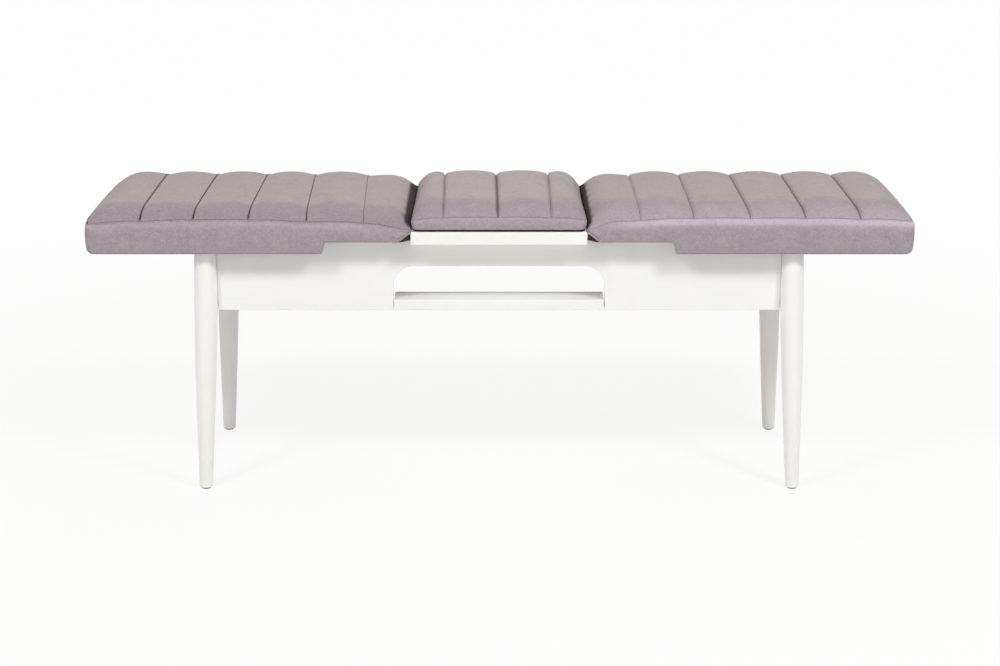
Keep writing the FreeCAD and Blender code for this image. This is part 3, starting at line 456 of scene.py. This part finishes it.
class Fabric:
    """A mesh in the making, whose points carry what the seams and the velvet go by.

    channel counts the seams from the inner end, or from the left on the leaf, and runs evenly between
    them. drop is the way down from the sewn edge, below 0 on the top. thread is how dark the seams are:
    their sewn line, with painted shade over it where the value is high. For the velvet, brushed is 1 where
    the darker pile lies, partly from the pile's direction and partly as painted shade on faces turned from
    the light; hollow is 1 where shade is painted, on the inner ends and the folded corners; and
    tone is a painted highlight above 0 and painted shade below 0.
    """

    def __init__(self):
        self.form = bmesh.new()
        self.layers = {key: self.form.verts.layers.float.new(key)
                       for key in ("channel", "drop", "brushed", "hollow", "thread", "tone")}

    def point(self, place, **values):
        vert = self.form.verts.new(place)
        for key, value in values.items():
            vert[self.layers[key]] = value
        return vert

    def piece(self, name):
        """The mesh as an object of the scene."""
        mesh = bpy.data.meshes.new(name)
        self.form.to_mesh(mesh)
        self.form.free()
        made = bpy.data.objects.new(name, mesh)
        bpy.context.scene.collection.objects.link(made)
        return made


def graded(start, end, count, pinch=0.6):
    """Places from start to end, closer together at both."""
    places = []
    for number in range(count):
        even = number / count
        eased = 0.5 - 0.5 * math.cos(math.pi * even)
        places.append(start + (end - start) * ((1 - pinch) * even + pinch * eased))
    return places


class Pad:
    """A padded piece with sewn channels. Its top is a grid whose columns follow the seams, and rings of
    fabric run from the sewn edge down its walls, round their lower corner and in under it.

    Each of its seams is given by its places along the front edge and along the back edge, and its
    seam_shades say how dark they are, from 0 to 1: the sewn line, with painted shade over it.
    """

    side = 1
    end_pinch = 0.0

    def __init__(self, name, sizes):
        self.name = name
        self.sizes = sizes
        self.channels = len(self.seams) + 1
        marks = [(self.start, self.start, 0),
                 *((*seam, number) for number, seam in enumerate(self.seams, 1)),
                 (self.end, self.end, self.channels)]
        self.columns = [tuple(first + (second - first) * share for first, second in zip(near, far))
                        for near, far in zip(marks, marks[1:])
                        for share in self.shares(near, far)]
        self.columns.append(marks[-1])

    # How dark a seam is: its sewn line, with painted shade over it where the value is high.
    def thread(self, channel):
        return through(list(enumerate(self.seam_shades, 1)), channel)

    def from_side(self, across):
        """Distance from the nearer long side."""
        return min(across - self.front, -self.front - across)

    def arch(self, channel):
        """Round of the channels, 0 at each seam and 1 from the last crests out to the ends."""
        if channel < 0.5 or channel > self.channels - 0.5:
            return 1.0
        return abs(math.sin(math.pi * channel))

    def to_world(self, along, across, height):
        return (self.side * along, across, height)

    def on_outline(self, along, across):
        """Place on the outline's rounded rectangle, and the direction out of it at a rounded corner."""
        for side, edge, radius in ((-1, self.start, self.round_start), (1, self.end, self.round_end)):
            for front in (-1, 1):
                centre = Vector((edge - side * radius, front * (-self.front - radius)))
                off = Vector(((along - centre.x) * side, (across - centre.y) * front))
                if off.x > 0 and off.y > 0:
                    reach = off.length
                    scale = max(off.x, off.y) / reach
                    out = Vector((off.x * side, off.y * front)) / reach
                    return Vector((centre.x + off.x * side * scale, centre.y + off.y * front * scale)), out
        return Vector((along, across)), None

    def outward(self, column, row, point):
        """Direction out of the outline at a spot of its rim."""
        _, out = self.on_outline(*point)
        if out is not None:
            return out
        if column == 0:
            return Vector((-1, 0))
        if column == len(self.columns) - 1:
            return Vector((1, 0))
        return Vector((0, -1 if row == 0 else 1))

    def drawn_in(self, point):
        """The sewn edge lies a little inside the walls, further at the corners of the outer end."""
        from_side = self.from_side(point.y)
        at_corner = smooth(1 - (from_side - 0.004) / 0.035)
        at_end = 1 - smooth((self.end - point.x) / 0.020)
        side_pinch = 0.0012 / -self.front * (1 - smooth(from_side / 0.015))
        return Vector((point.x - self.end_pinch * at_corner * at_end, point.y * (1 - side_pinch)))

    def build(self):
        """The padded form before it is sewn, open underneath."""
        fabric = Fabric()
        rows = [*graded(self.front, -self.front, self.rows, 0.5), -self.front]
        grid, points = self.lay_top(fabric, rows)
        self.lay_rings(fabric, grid, points, len(rows) - 1)
        return fabric.piece(self.name)

    def lay_top(self, fabric, rows):
        """The grid of the top, and each spot's place on the outline."""
        grid, points = {}, {}
        last_column, last_row = len(self.columns) - 1, len(rows) - 1
        for column, (front_place, back_place, channel) in enumerate(self.columns):
            for row, across in enumerate(rows):
                share = (across - self.front) / (-2 * self.front)
                point, _ = self.on_outline(front_place + (back_place - front_place) * share, across)
                drawn = self.drawn_in(point)
                inwards = min(point.x - self.start, self.end - point.x, self.from_side(point.y))
                drop = min(-inwards, 0.0)
                grid[column, row] = fabric.point(
                    self.to_world(drawn.x, drawn.y, self.top(point.x, point.y, channel)),
                    channel=channel, drop=drop, thread=self.thread(channel),
                    brushed=self.brushed(point.y), hollow=self.hollow(point), tone=self.tone(point, drop))
                points[column, row] = point
        for column in range(last_column):
            for row in range(last_row):
                fabric.form.faces.new([grid[column, row], grid[column + 1, row],
                                       grid[column + 1, row + 1], grid[column, row + 1]])
        return grid, points

    def lay_rings(self, fabric, grid, points, last_row):
        """Rings of fabric from the rim of the top down and under the pad."""
        last_column = len(self.columns) - 1
        rim = ([(column, 0) for column in range(last_column)]
               + [(last_column, row) for row in range(last_row)]
               + [(column, last_row) for column in range(last_column, 0, -1)]
               + [(0, row) for row in range(last_row, 0, -1)])
        ring = [grid[spot] for spot in rim]
        places = []
        for spot in rim:
            point = points[spot]
            channel = grid[spot][fabric.layers["channel"]]
            places.append((point, self.outward(*spot, point), self.top(point.x, point.y, channel), channel))
        for step in range(1, self.wall_rings + self.corner_rings + self.under_rings + 1):
            fresh = []
            for point, out, sewn_height, channel in places:
                off, height, drop = self.ring(step, point, out, sewn_height)
                spot = point + out * off
                fresh.append(fabric.point(
                    self.to_world(spot.x, spot.y, height),
                    channel=channel, drop=drop, thread=self.thread(channel), brushed=1.0,
                    hollow=max(self.hollow(point), self.crease_painted_shade(step, point)),
                    tone=self.tone(point, drop)))
            for place, vert in enumerate(ring):
                after = (place + 1) % len(ring)
                fabric.form.faces.new([ring[after], vert, fresh[place], fresh[after]])
            ring = fresh


def alone(piece):
    """Deselect everything, then select and activate one piece."""
    bpy.ops.object.select_all(action="DESELECT")
    piece.select_set(True)
    bpy.context.view_layer.objects.active = piece


def values_of(mesh, key):
    """What a mesh's points carry, as a list."""
    return [item.value for item in mesh.attributes[key].data]


def sew(piece, sizes, channel_width):
    """One subdivision, then the seams are drawn in and puckered."""
    alone(piece)
    finer = piece.modifiers.new("finer", "SUBSURF")
    finer.levels = 1
    finer.render_levels = 1
    bpy.ops.object.modifier_apply(modifier="finer")
    mesh = piece.data
    normals = [vert.normal.copy() for vert in mesh.vertices]
    channels, drops, seam_shades = [values_of(mesh, key) for key in ("channel", "drop", "thread")]
    last = max(channels)
    for vert, normal, channel, drop, thread in zip(mesh.vertices, normals, channels, drops, seam_shades):
        move = 0.0
        if 0.5 < channel < last - 0.5 and drop < 0.0005:
            across = (channel - round(channel)) * channel_width
            fade = smooth((-drop + 0.0005) / 0.003)
            pucker = noise.noise(Vector((channel * 9, vert.co.y * 170, 3.1)))
            width = SEAM_WIDTH + DARK_SEAM_MORE * thread
            move -= sizes.seam_depth * (0.5 + 0.5 * thread) * math.exp(-abs(across / width) ** 1.5) * fade
            move += PUCKER * pucker * bell(across, PUCKER_WIDTH) * fade
        along_edge = noise.noise(Vector((vert.co.x * 120, vert.co.y * 120, 8.3)))
        move -= EDGE_DEPTH * bell(drop, EDGE_WIDTH)
        move += EDGE_PUCKER * along_edge * bell(drop, EDGE_PUCKER_WIDTH)
        vert.co += normal * move
    close_underneath(mesh)
    for face in mesh.polygons:
        face.use_smooth = True


def close_underneath(mesh):
    """Close the flat opening under a pad with one face, and turn every face outwards."""
    form = bmesh.new()
    form.from_mesh(mesh)
    bmesh.ops.holes_fill(form, edges=[edge for edge in form.edges if edge.is_boundary], sides=0)
    bmesh.ops.recalc_face_normals(form, faces=form.faces)
    form.to_mesh(mesh)
    form.free()
    mesh.update()


def upholster(pad, channel_width, body, *solids):
    """Build, sew and finish a pad that rides on a body and replaces its plain solids."""
    piece = pad.build()
    sew(piece, pad.sizes, channel_width)
    piece.data.materials.append(bpy.data.materials["velvet"])
    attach(piece, body)
    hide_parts(*solids)


class SeatPad(Pad):
    """Padding, skirt and turned-under fabric of one seat half. Lengths run from the middle outwards.

    The halves differ in their seams, in edge_heights, the heights of the sewn edge at places along it, in
    how full the inner channel and the outer end are, in how far the darker pile reaches, which is partly
    painted shade, and in where painted highlight and painted shade lie.
    """

    start = INNER_END
    end = OUTER_END
    front = FRONT
    rows = 68
    wall_rings = 12
    corner_rings = 4
    under_rings = 13
    round_start = 0.0042
    round_end = 0.0115
    end_pinch = 0.0024
    skirt_columns = 0.143
    skirt_begins = 0.144
    skirt_inside = -0.014
    tuck_rise = 0.017
    tuck_along = 0.021
    tuck_across = 0.020
    ruffle_place = 0.036
    ruffle_width = 0.013
    ruffle_height = 0.0007

    # The last three rings: how far out of the outline, how far above the underside, and how much more drop.
    opening = ((-0.0298, 0.0, 0.050), (-0.0302, 0.0011, 0.052), (-0.034, 0.0011, 0.055))

    def shares(self, near, far):
        """Columns across one channel, closer together at its seams and where the skirt begins."""
        skirt = self.start + self.skirt_columns
        if not near[0] < skirt < far[0]:
            return graded(0.0, 1.0, 18 if near[2] == 0 else 20)
        begins = (skirt - near[0]) / (far[0] - near[0])
        full = (skirt + 0.009 - near[0]) / (far[0] - near[0])
        return [*graded(0.0, begins, 13, 0.35), *graded(begins, full, 5, 0.35), *graded(full, 1.0, 7, 0.35)]

    def crown(self, channel):
        """Height of the channels, 0 at a seam and 1 on a crest."""
        return self.arch(channel) ** 0.62

    def top(self, along, across, channel):
        """Height of the top before it is sewn."""
        from_inner = along - self.start
        from_outer = self.end - along
        from_side = self.from_side(across)
        middle = 1 - (across / self.front) ** 2
        inner = self.edge_heights[0][1] + 0.006 * middle ** 0.7
        outer = self.edge_heights[-1][1] + 0.004 * middle
        near_inner = (1 - clamp(from_inner / 0.05)) ** 2
        near_outer = (1 - clamp(from_outer / 0.07)) ** 2
        edge = through(self.edge_heights, along) * (1 - near_inner - near_outer)
        edge = edge + inner * near_inner + outer * near_outer
        rise = ease(from_side / 0.060, 2.5) * ease(from_inner / 0.056, 2.9) * ease(from_outer / 0.060, 2.9)
        swell = self.crown(channel) * (0.14 + 0.86 * ease(from_side / 0.045, 1.8))
        swell *= ease(from_inner / 0.05, 1.6) * ease(from_outer / 0.05, 1.8)
        if channel < 1:
            swell *= self.inner_swell
        return (edge + (self.sizes.valley_height + 0.0012 * middle - edge) * rise
                + self.sizes.channel_puff * swell)

    def tucked(self, point):
        """1 where the corner beside the leaf is folded up, falling to 0 along a slanting line."""
        return clamp(1 - (point.x - self.start) / self.tuck_along
                     - self.from_side(point.y) / self.tuck_across)

    def beside_tuck(self, point):
        """1 at the folded corner beside the leaf, 0 away from it."""
        return 1 - smooth((max(point.x - self.start, self.from_side(point.y)) - 0.019) / 0.010)

    def low(self, point):
        """Lowest point of the fabric below a place on the outline, and how much of it is skirt."""
        from_inner = point.x - self.start
        skirt = smooth((from_inner - self.skirt_begins) / 0.0070)
        height = UNDER + (SKIRT_LOW - UNDER) * skirt
        ruffle = bell(from_inner - self.ruffle_place, self.ruffle_width) * math.sin(from_inner * 620)
        return height + self.tuck_rise * self.tucked(point) + self.ruffle_height * ruffle, skirt

    def ring(self, step, point, out, sewn_height):
        """How far a ring lies out of the outline, its height, and its drop below the sewn edge."""
        low, skirt = self.low(point)
        tall = sewn_height - low
        tuck = self.beside_tuck(point)
        outer = smooth((out.x - 0.15) / 0.7) if point.x > self.end - 0.02 else 0.0
        radius = min(0.0052 + 0.0046 * outer, tall * 0.45) * (1 - 0.72 * tuck)
        if step <= self.wall_rings:
            share = step / self.wall_rings
            height = sewn_height - (tall - radius) * share
            pinch = 0.0026 * (1 - 0.85 * tuck)
            bulge = 0.0010 * math.sin(math.pi * share) - pinch * math.exp(-share * tall / 0.006)
            bulge += tuck * self.fold(height - low)
            return bulge + self.pull_in(point, out), height, (tall - radius) * share
        step -= self.wall_rings
        if step <= self.corner_rings:
            turn = step / self.corner_rings * math.pi / 2
            off = -radius * (1 - math.cos(turn))
            height = low + radius * (1 - math.sin(turn))
            return off + self.pull_in(point, out), height, tall + radius * (turn - 1)
        return self.under_ring(step - self.corner_rings, point, out, radius, low, skirt, tall)

    def under_ring(self, step, point, out, radius, low, skirt, tall):
        """Fabric turned under: flat beside the leaf, and round and up inside the skirt elsewhere."""
        inside = self.skirt_inside
        skirt_path = ((-radius - 0.0010, low), (-0.0116, low + 0.0002), (-0.0134, low + 0.0018),
                      (inside, low + 0.0045), (inside, low + 0.010), (inside, UNDER - 0.002),
                      (inside - 0.001, UNDER - 0.0002), (-0.018, UNDER), (-0.022, UNDER), (-0.026, UNDER))
        if step > len(skirt_path):
            off, above, further = self.opening[step - len(skirt_path) - 1]
            return off, UNDER + above, tall + further
        flat_off = -0.0065 - 0.0021 * (step - 1)
        skirt_off, skirt_height = skirt_path[step - 1]
        off = flat_off + (skirt_off - flat_off) * skirt
        height = UNDER + (skirt_height - UNDER) * skirt
        height += self.tuck_rise * self.tucked(point + out * off) * (1 - skirt)
        return off, height, tall + 0.01 + step * 0.003

    def fold(self, above):
        """The two lips of the folded corner, with the open fold between them."""
        above *= 0.78
        return (0.0012 * bell(above - 0.0006, 0.0012) - 0.0008 * bell(above - 0.0034, 0.0013)
                + 0.0021 * bell(above - 0.0066, 0.0017))

    def crease_painted_shade(self, step, point):
        """Painted shade on the slanting underside of the folded corner, from half way round the turn."""
        if step > self.wall_rings + self.corner_rings / 2:
            return 0.97 * self.beside_tuck(point)
        return 0.0

    def pull_in(self, point, out):
        """The outer end stands out at its corners, and less between them."""
        if out.x < 0.02 or point.x < self.end - 0.02:
            return 0.0
        return (self.end_fullness - 0.0014 * (1 - (point.y / self.front) ** 2)) * out.x

    # The darker pile, 1 at the front and falling away over the top: partly the pile's direction, partly
    # painted shade.
    def brushed(self, across):
        return 1 - smooth((across - self.front) / self.brushed_width)

    # Painted light: a painted highlight on the walls below the sewn edge, and on the top's front strip
    # painted shade where the front value is below 0 and painted highlight where it is above.
    def tone(self, point, drop):
        if drop > 0:
            return bell(drop - 0.006, 0.007) * smooth((point.x - self.start) / 0.12) * self.wall_painted_highlight
        return (1 - smooth((point.y - self.front) / 0.075)) * self.front_painted_light

    def hollow(self, point):
        """Painted shade on the inner face beside the leaf, but not on its front corner."""
        edge = self.hollow_width + 0.0008 * math.sin(point.y * 130)
        back = smooth((point.y - self.front - 0.006) / 0.02)
        return (1 - smooth((point.x - self.start - edge) / 0.0020)) * back


class LeftSeatPad(SeatPad):
    """The left half, whose seams and top front carry more painted shade."""

    side = -1
    seams = ((0.2283, 0.2420), (0.3247, 0.3380), (0.4227, 0.4245), (0.5157, 0.5168), (0.6053, 0.6090))
    seam_shades = (0.30, 0.75, 0.90, 1.0, 1.0)
    edge_heights = (
        (0.150, 0.4705), (0.164, 0.4742), (0.184, 0.4773), (0.210, 0.4810), (0.228, 0.4830),
        (0.325, 0.4850), (0.423, 0.4885), (0.516, 0.4885), (0.605, 0.4860), (0.700, 0.4820))
    inner_swell = 0.35
    end_fullness = 0.0010
    # How far the darker pile reaches, partly painted shade; the painted highlight on the walls; painted
    # light on the top's front strip, shade below 0 and highlight above; and the width of the painted shade
    # beside the leaf.
    brushed_width = 0.110
    wall_painted_highlight = 0.30
    front_painted_light = -0.66
    hollow_width = 0.0110

    def crown(self, channel):
        """The outermost channel is full at its seam and falls towards the end."""
        if channel > self.channels - 1:
            return (self.arch(channel) * (1.15 - 0.45 * (channel - self.channels + 1))) ** 0.42
        return super().crown(channel)


class RightSeatPad(SeatPad):
    """The right half, with faint seams and a painted highlight on its front wall."""

    seams = ((0.2384, 0.2380), (0.3287, 0.3304), (0.4244, 0.4236), (0.5174, 0.5187), (0.6104, 0.6110))
    seam_shades = (0.05, 0.20, 0.28, 0.38, 0.42)
    edge_heights = (
        (0.150, 0.4720), (0.156, 0.4785), (0.174, 0.4815), (0.186, 0.4848), (0.213, 0.4858),
        (0.238, 0.4878), (0.328, 0.4915), (0.517, 0.4915), (0.610, 0.4900), (0.683, 0.4885),
        (0.700, 0.4870))
    inner_swell = 0.5
    end_fullness = 0.0030
    # How far the darker pile reaches, partly painted shade; the painted highlight on the walls; painted
    # light on the top's front strip, shade below 0 and highlight above; and the width of the painted shade
    # beside the leaf.
    brushed_width = 0.170
    wall_painted_highlight = 1.05
    front_painted_light = 0.16
    hollow_width = 0.0075


class LeafPad(Pad):
    """Padded top of the leaf, with four channels."""

    start = -LEAF_SIDE
    end = LEAF_SIDE
    front = LEAF_FRONT
    seams = ((-0.094, -0.100), (-0.002, -0.0055), (0.088, 0.0897))
    seam_shades = (0.06, 0.45, 0.06)
    rows = 66
    wall_rings = 6
    corner_rings = 5
    under_rings = 5
    round_start = 0.012
    round_end = 0.012

    # How far the left and right ends fall towards the back, and how wide their slopes are.
    left_end = (0.0065, 0.037)
    right_end = (0.0130, 0.047)

    def shares(self, near, far):
        return graded(0.0, 1.0, 20 if 0 < near[2] < self.channels - 1 else 15)

    def top(self, along, across, channel):
        """Height of the top before it is sewn."""
        from_end = min(along - self.start, self.end - along)
        from_side = self.from_side(across)
        middle = 1 - (along / self.end) ** 2
        back = (across - self.front) / (-2 * self.front)
        fall, slope = self.left_end if along < 0 else self.right_end
        edge = 0.4885 + 0.0045 * middle ** 0.6 - 0.0025 * back
        ends = 0.4880 - fall * smooth(back * 1.6)
        edge += (ends - edge) * (1 - clamp(from_end / 0.035)) ** 2
        rise = ease(from_side / 0.050, 2.3) * ease(from_end / slope, 2.8)
        swell = self.arch(channel) ** 0.45 * (0.10 + 0.90 * ease(from_side / 0.040, 1.8))
        swell *= ease(from_end / 0.05, 1.7)
        valley = self.sizes.valley_height + 0.0022
        return edge + (valley - edge) * rise + self.sizes.channel_puff * 0.95 * swell

    def ring(self, step, point, out, sewn_height):
        """How far a ring lies out of the outline, its height, and its drop below the sewn edge."""
        low = LEAF_TOP + 0.0029
        tall = sewn_height - low
        radius = min(0.0034 + 0.0010 * abs(out.x) ** 3, tall * 0.5)
        if step <= self.wall_rings:
            share = step / self.wall_rings
            height = sewn_height - (tall - radius) * share
            bulge = 0.0016 * math.sin(math.pi * share ** 0.8)
            return bulge - 0.0012 * math.exp(-share * tall / 0.004), height, (tall - radius) * share
        step -= self.wall_rings
        if step <= self.corner_rings:
            turn = step / self.corner_rings * math.pi / 2
            return -radius * (1 - math.cos(turn)), low + radius * (1 - math.sin(turn)), tall
        step -= self.corner_rings
        return -radius - 0.0022 * step, low, tall + 0.004 * step

    # The darker pile, 1 at the front and falling away over the top: partly the pile's direction, partly
    # painted shade.
    def brushed(self, across):
        return 1 - smooth((across - self.front) / 0.16)

    # Painted light: a painted highlight on the walls, and on the top painted shade at the front turning to
    # a faint painted highlight at the back.
    def tone(self, point, drop):
        return 0.20 if drop > 0 else -0.12 + 0.22 * smooth((point.y - self.front) / 0.12)

    def hollow(self, point):
        return 0.0

    def crease_painted_shade(self, step, point):
        return 0.0


class BENCH_OT_seat_pads(bpy.types.Operator):
    """Make the padding and fabric of both seat halves"""

    bl_idname = "bench.seat_pads"
    bl_label = "Seat pads"

    def execute(self, context):
        sizes = context.scene.bench_sizes
        for name, kind in (("left", LeftSeatPad), ("right", RightSeatPad)):
            upholster(kind(name + "_seat_pad", sizes), CHANNEL_WIDTH,
                      name + "_half", name + "_cushion", name + "_cover")
        return {"FINISHED"}


class BENCH_OT_leaf_pad(bpy.types.Operator):
    """Make the padded top of the leaf"""

    bl_idname = "bench.leaf_pad"
    bl_label = "Leaf pad"

    def execute(self, context):
        upholster(LeafPad("leaf_pad", context.scene.bench_sizes), LEAF_CHANNEL_WIDTH,
                  "leaf", "leaf_cushion")
        return {"FINISHED"}


# Boards

LINING_CORNER = 0.010
LINING_EDGE = 0.0025
STRIP_CORNER = 0.0095
END_STRIP_INSET = 0.0008
LONG_STRIP_INSET = 0.0026


def block(name, low, high):
    """A square block between two corners of its box, to be rounded."""
    bpy.ops.object.select_all(action="DESELECT")
    bpy.ops.mesh.primitive_cube_add(size=1, location=(low + high) / 2, scale=high - low)
    board = bpy.context.active_object
    board.name = name
    bpy.ops.object.transform_apply(location=True, rotation=True, scale=True)
    return board


def round_edges(board, width, weight):
    """Round the edges of a board, each by the width times the weight of its two ends."""
    alone(board)
    weights = board.data.attributes.new("bevel_weight_edge", "FLOAT", "EDGE")
    for edge in board.data.edges:
        ends = [board.data.vertices[place].co for place in edge.vertices]
        weights.data[edge.index].value = weight(*ends)
    rounding = board.modifiers.new("rounding", "BEVEL")
    rounding.width = width
    rounding.segments = 5
    rounding.limit_method = "WEIGHT"
    bpy.ops.object.modifier_apply(modifier="rounding")
    board.data.attributes.remove(board.data.attributes["bevel_weight_edge"])


def finish_board(board, finish, body, solid):
    """Smooth the rounded edges of a selected board that rides on a body and replaces its plain solid."""
    bpy.ops.object.shade_smooth_by_angle(angle=SMOOTH_BELOW)
    board.data.materials.append(bpy.data.materials[finish])
    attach(board, body)
    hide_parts(solid)


def is_upright(first, second):
    return abs(first.z - second.z) > 0.001


def is_lowest(first, second, low):
    return max(first.z, second.z) < low.z + 0.0001


class BENCH_OT_leaf_lining(bpy.types.Operator):
    """Wrap the board inside the leaf's padded top in black lining, whose edge also paints the shade of the
    gap under the pad
    """

    bl_idname = "bench.leaf_lining"
    bl_label = "Leaf lining"

    def execute(self, context):
        low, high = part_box("leaf_pad_base")
        # The lining's black edge is the dark line under the pad's rounded edge: partly the lining, partly
        # painted shade of the gap.
        board = block("leaf_pad_lining", low, high)
        round_edges(board, LINING_CORNER, lambda first, second: 1.0 if is_upright(first, second) else 0.0)
        round_edges(board, LINING_EDGE, lambda first, second: 1.0 if is_lowest(first, second, low) else 0.0)
        finish_board(board, "black_lining", "leaf", "leaf_pad_base")
        return {"FINISHED"}


class BENCH_OT_skirt_strips(bpy.types.Operator):
    """Make the wooden strips that stiffen the skirts, with their lower edges rounded for the fabric"""

    bl_idname = "bench.skirt_strips"
    bl_label = "Skirt strips"

    def execute(self, context):
        for side in ("left", "right"):
            for place in ("front", "back", "end"):
                self.make_strip(side, place)
        return {"FINISHED"}

    def make_strip(self, side, place):
        """One strip, a little shorter than its solid at the outer end."""
        node = f"{side}_{place}_skirt_strip"
        low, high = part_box(node)
        inset = END_STRIP_INSET if place == "end" else LONG_STRIP_INSET
        if side == "left":
            low.x += inset
        else:
            high.x -= inset
        outer = max(abs(low.x), abs(high.x))

        def weight(first, second):
            at_end = min(abs(first.x), abs(second.x)) > outer - 0.001
            outside = min(abs(first.y), abs(second.y)) > -FRONT - 0.003
            if place != "end" and at_end and is_upright(first, second):
                return 1.0
            if not is_lowest(first, second, low):
                return 0.0
            return 0.85 if at_end else 0.6 if outside else 0.2

        strip = block(node + "_rounded", low, high)
        round_edges(strip, STRIP_CORNER, weight)
        finish_board(strip, "raw_plywood", side + "_half", node)


class BENCH_OT_finishes(bpy.types.Operator):
    """Give every board, leg and fitting its finish"""

    bl_idname = "bench.finishes"
    bl_label = "Finishes"

    def execute(self, context):
        colours = context.scene.bench_colours
        finishes = {
            "upholstery": velvet(colours),
            "lacquer": white_lacquer(colours),
            "plywood": raw_plywood(),
            "beech": waxed_beech(),
            "steel": zinc_steel(),
            "bumper_rubber": plain_plastic("black_rubber", (0.018, 0.018, 0.019), 0.7, 300),
            "foot_plastic": plain_plastic("black_plastic", (0.02, 0.02, 0.021), 0.5, 240),
            "glide_plastic": plain_plastic("pale_plastic", linear(224, 224, 219), 0.42, 260),
            "lining": spun_lining("black_lining", (0.009, 0.0075, 0.0070)),
        }
        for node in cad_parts.values():
            for slot in node.material_slots:
                slot.material = finishes[slot.material.name.split(".")[0]]
        return {"FINISHED"}


# Studio

def lay_floor():
    """A pale floor that keeps the bench's shadow and glows white to the camera and in reflections."""
    bpy.ops.object.select_all(action="DESELECT")
    bpy.ops.mesh.primitive_plane_add(size=FLOOR_SIZE, location=(0, 0, 0))
    floor = bpy.context.active_object
    floor.name = "studio_floor"
    made = Finish("studio_white", {
        "Base Color": (0.93, 0.93, 0.93), "Roughness": 1.0, "Specular IOR Level": 0.0})
    lit = Wire(made.tree, made.shader.outputs[0])
    glow = made.node("ShaderNodeEmission", {}, {"Color": (1.0, 1.0, 1.0), "Strength": 1.0})
    away = made.node("ShaderNodeVectorMath", {"operation": "LENGTH"}, {0: made.place()}, "Value")
    share = made.looked_at() * (0.84 + away.step(0.9, 2.2) * 0.15)
    surface = made.node("ShaderNodeMixShader", {}, {0: share, 1: lit, 2: glow})
    made.feed(made.tree.nodes["Material Output"].inputs["Surface"], surface)
    floor.data.materials.append(made.material)


def light_room(scene):
    """Soft light from all round, which is plain white to the camera and in reflections."""
    world = bpy.data.worlds.new("studio")
    world.use_nodes = True
    scene.world = world
    made = Nodes(world.node_tree)
    made.tree.nodes.clear()
    soft = made.node("ShaderNodeBackground", {}, {"Color": ROOM_COLOUR, "Strength": ROOM_STRENGTH})
    white = made.node("ShaderNodeBackground", {}, {"Color": (1.0, 1.0, 1.0), "Strength": 1.0})
    surface = made.node("ShaderNodeMixShader", {}, {0: made.looked_at(), 1: soft, 2: white})
    made.feed(made.tree.nodes.new("ShaderNodeOutputWorld").inputs["Surface"], surface)


def hang_lamps(scene):
    for name, place, target, size, watts, colour in LAMPS:
        light = bpy.data.lights.new(name, "AREA")
        light.size = size
        light.energy = watts
        light.color = colour
        lamp = bpy.data.objects.new("lamp_" + name, light)
        lamp.location = place
        lamp.rotation_euler = (Vector(target) - Vector(place)).to_track_quat("-Z", "Y").to_euler()
        scene.collection.objects.link(lamp)


def place_camera(scene):
    lens = bpy.data.cameras.new("front_view")
    lens.lens = CAMERA_LENS
    lens.sensor_width = CAMERA_SENSOR
    lens.shift_x = CAMERA_SHIFT
    camera = bpy.data.objects.new("front_view", lens)
    camera.location = CAMERA_PLACE
    camera.rotation_euler = (CAMERA_TILT, 0, 0)
    scene.collection.objects.link(camera)
    scene.camera = camera


class BENCH_OT_studio(bpy.types.Operator):
    """Set up the floor, the lamps and the camera"""

    bl_idname = "bench.studio"
    bl_label = "Studio"

    def execute(self, context):
        lay_floor()
        light_room(context.scene)
        hang_lamps(context.scene)
        place_camera(context.scene)
        context.scene.view_settings.view_transform = "Standard"
        return {"FINISHED"}


class BENCH_PT_panel(bpy.types.Panel):
    """Lists the bench's sizes, colours and pieces"""

    bl_idname = "BENCH_PT_panel"
    bl_label = "Bench"
    bl_space_type = "VIEW_3D"
    bl_region_type = "UI"
    bl_category = "Bench"

    def draw(self, context):
        for group in (context.scene.bench_sizes, context.scene.bench_colours):
            column = self.layout.column()
            for key in group.__annotations__:
                column.prop(group, key)
        for operator in OPERATORS:
            self.layout.operator(operator.bl_idname)


OPERATORS = (BENCH_OT_studio, BENCH_OT_finishes, BENCH_OT_seat_pads, BENCH_OT_leaf_pad,
             BENCH_OT_leaf_lining, BENCH_OT_skirt_strips)
CLASSES = (BenchSizes, BenchColours, *OPERATORS, BENCH_PT_panel)


def register():
    for item in CLASSES:
        bpy.utils.register_class(item)
    bpy.types.Scene.bench_sizes = bpy.props.PointerProperty(type=BenchSizes)
    bpy.types.Scene.bench_colours = bpy.props.PointerProperty(type=BenchColours)


def unregister():
    del bpy.types.Scene.bench_colours
    del bpy.types.Scene.bench_sizes
    for item in reversed(CLASSES):
        bpy.utils.unregister_class(item)


def main():
    register()
    bpy.ops.bench.studio()
    bpy.ops.bench.finishes()
    bpy.ops.bench.seat_pads()
    bpy.ops.bench.leaf_pad()
    bpy.ops.bench.leaf_lining()
    bpy.ops.bench.skirt_strips()


if __name__ == "__main__":
    main()
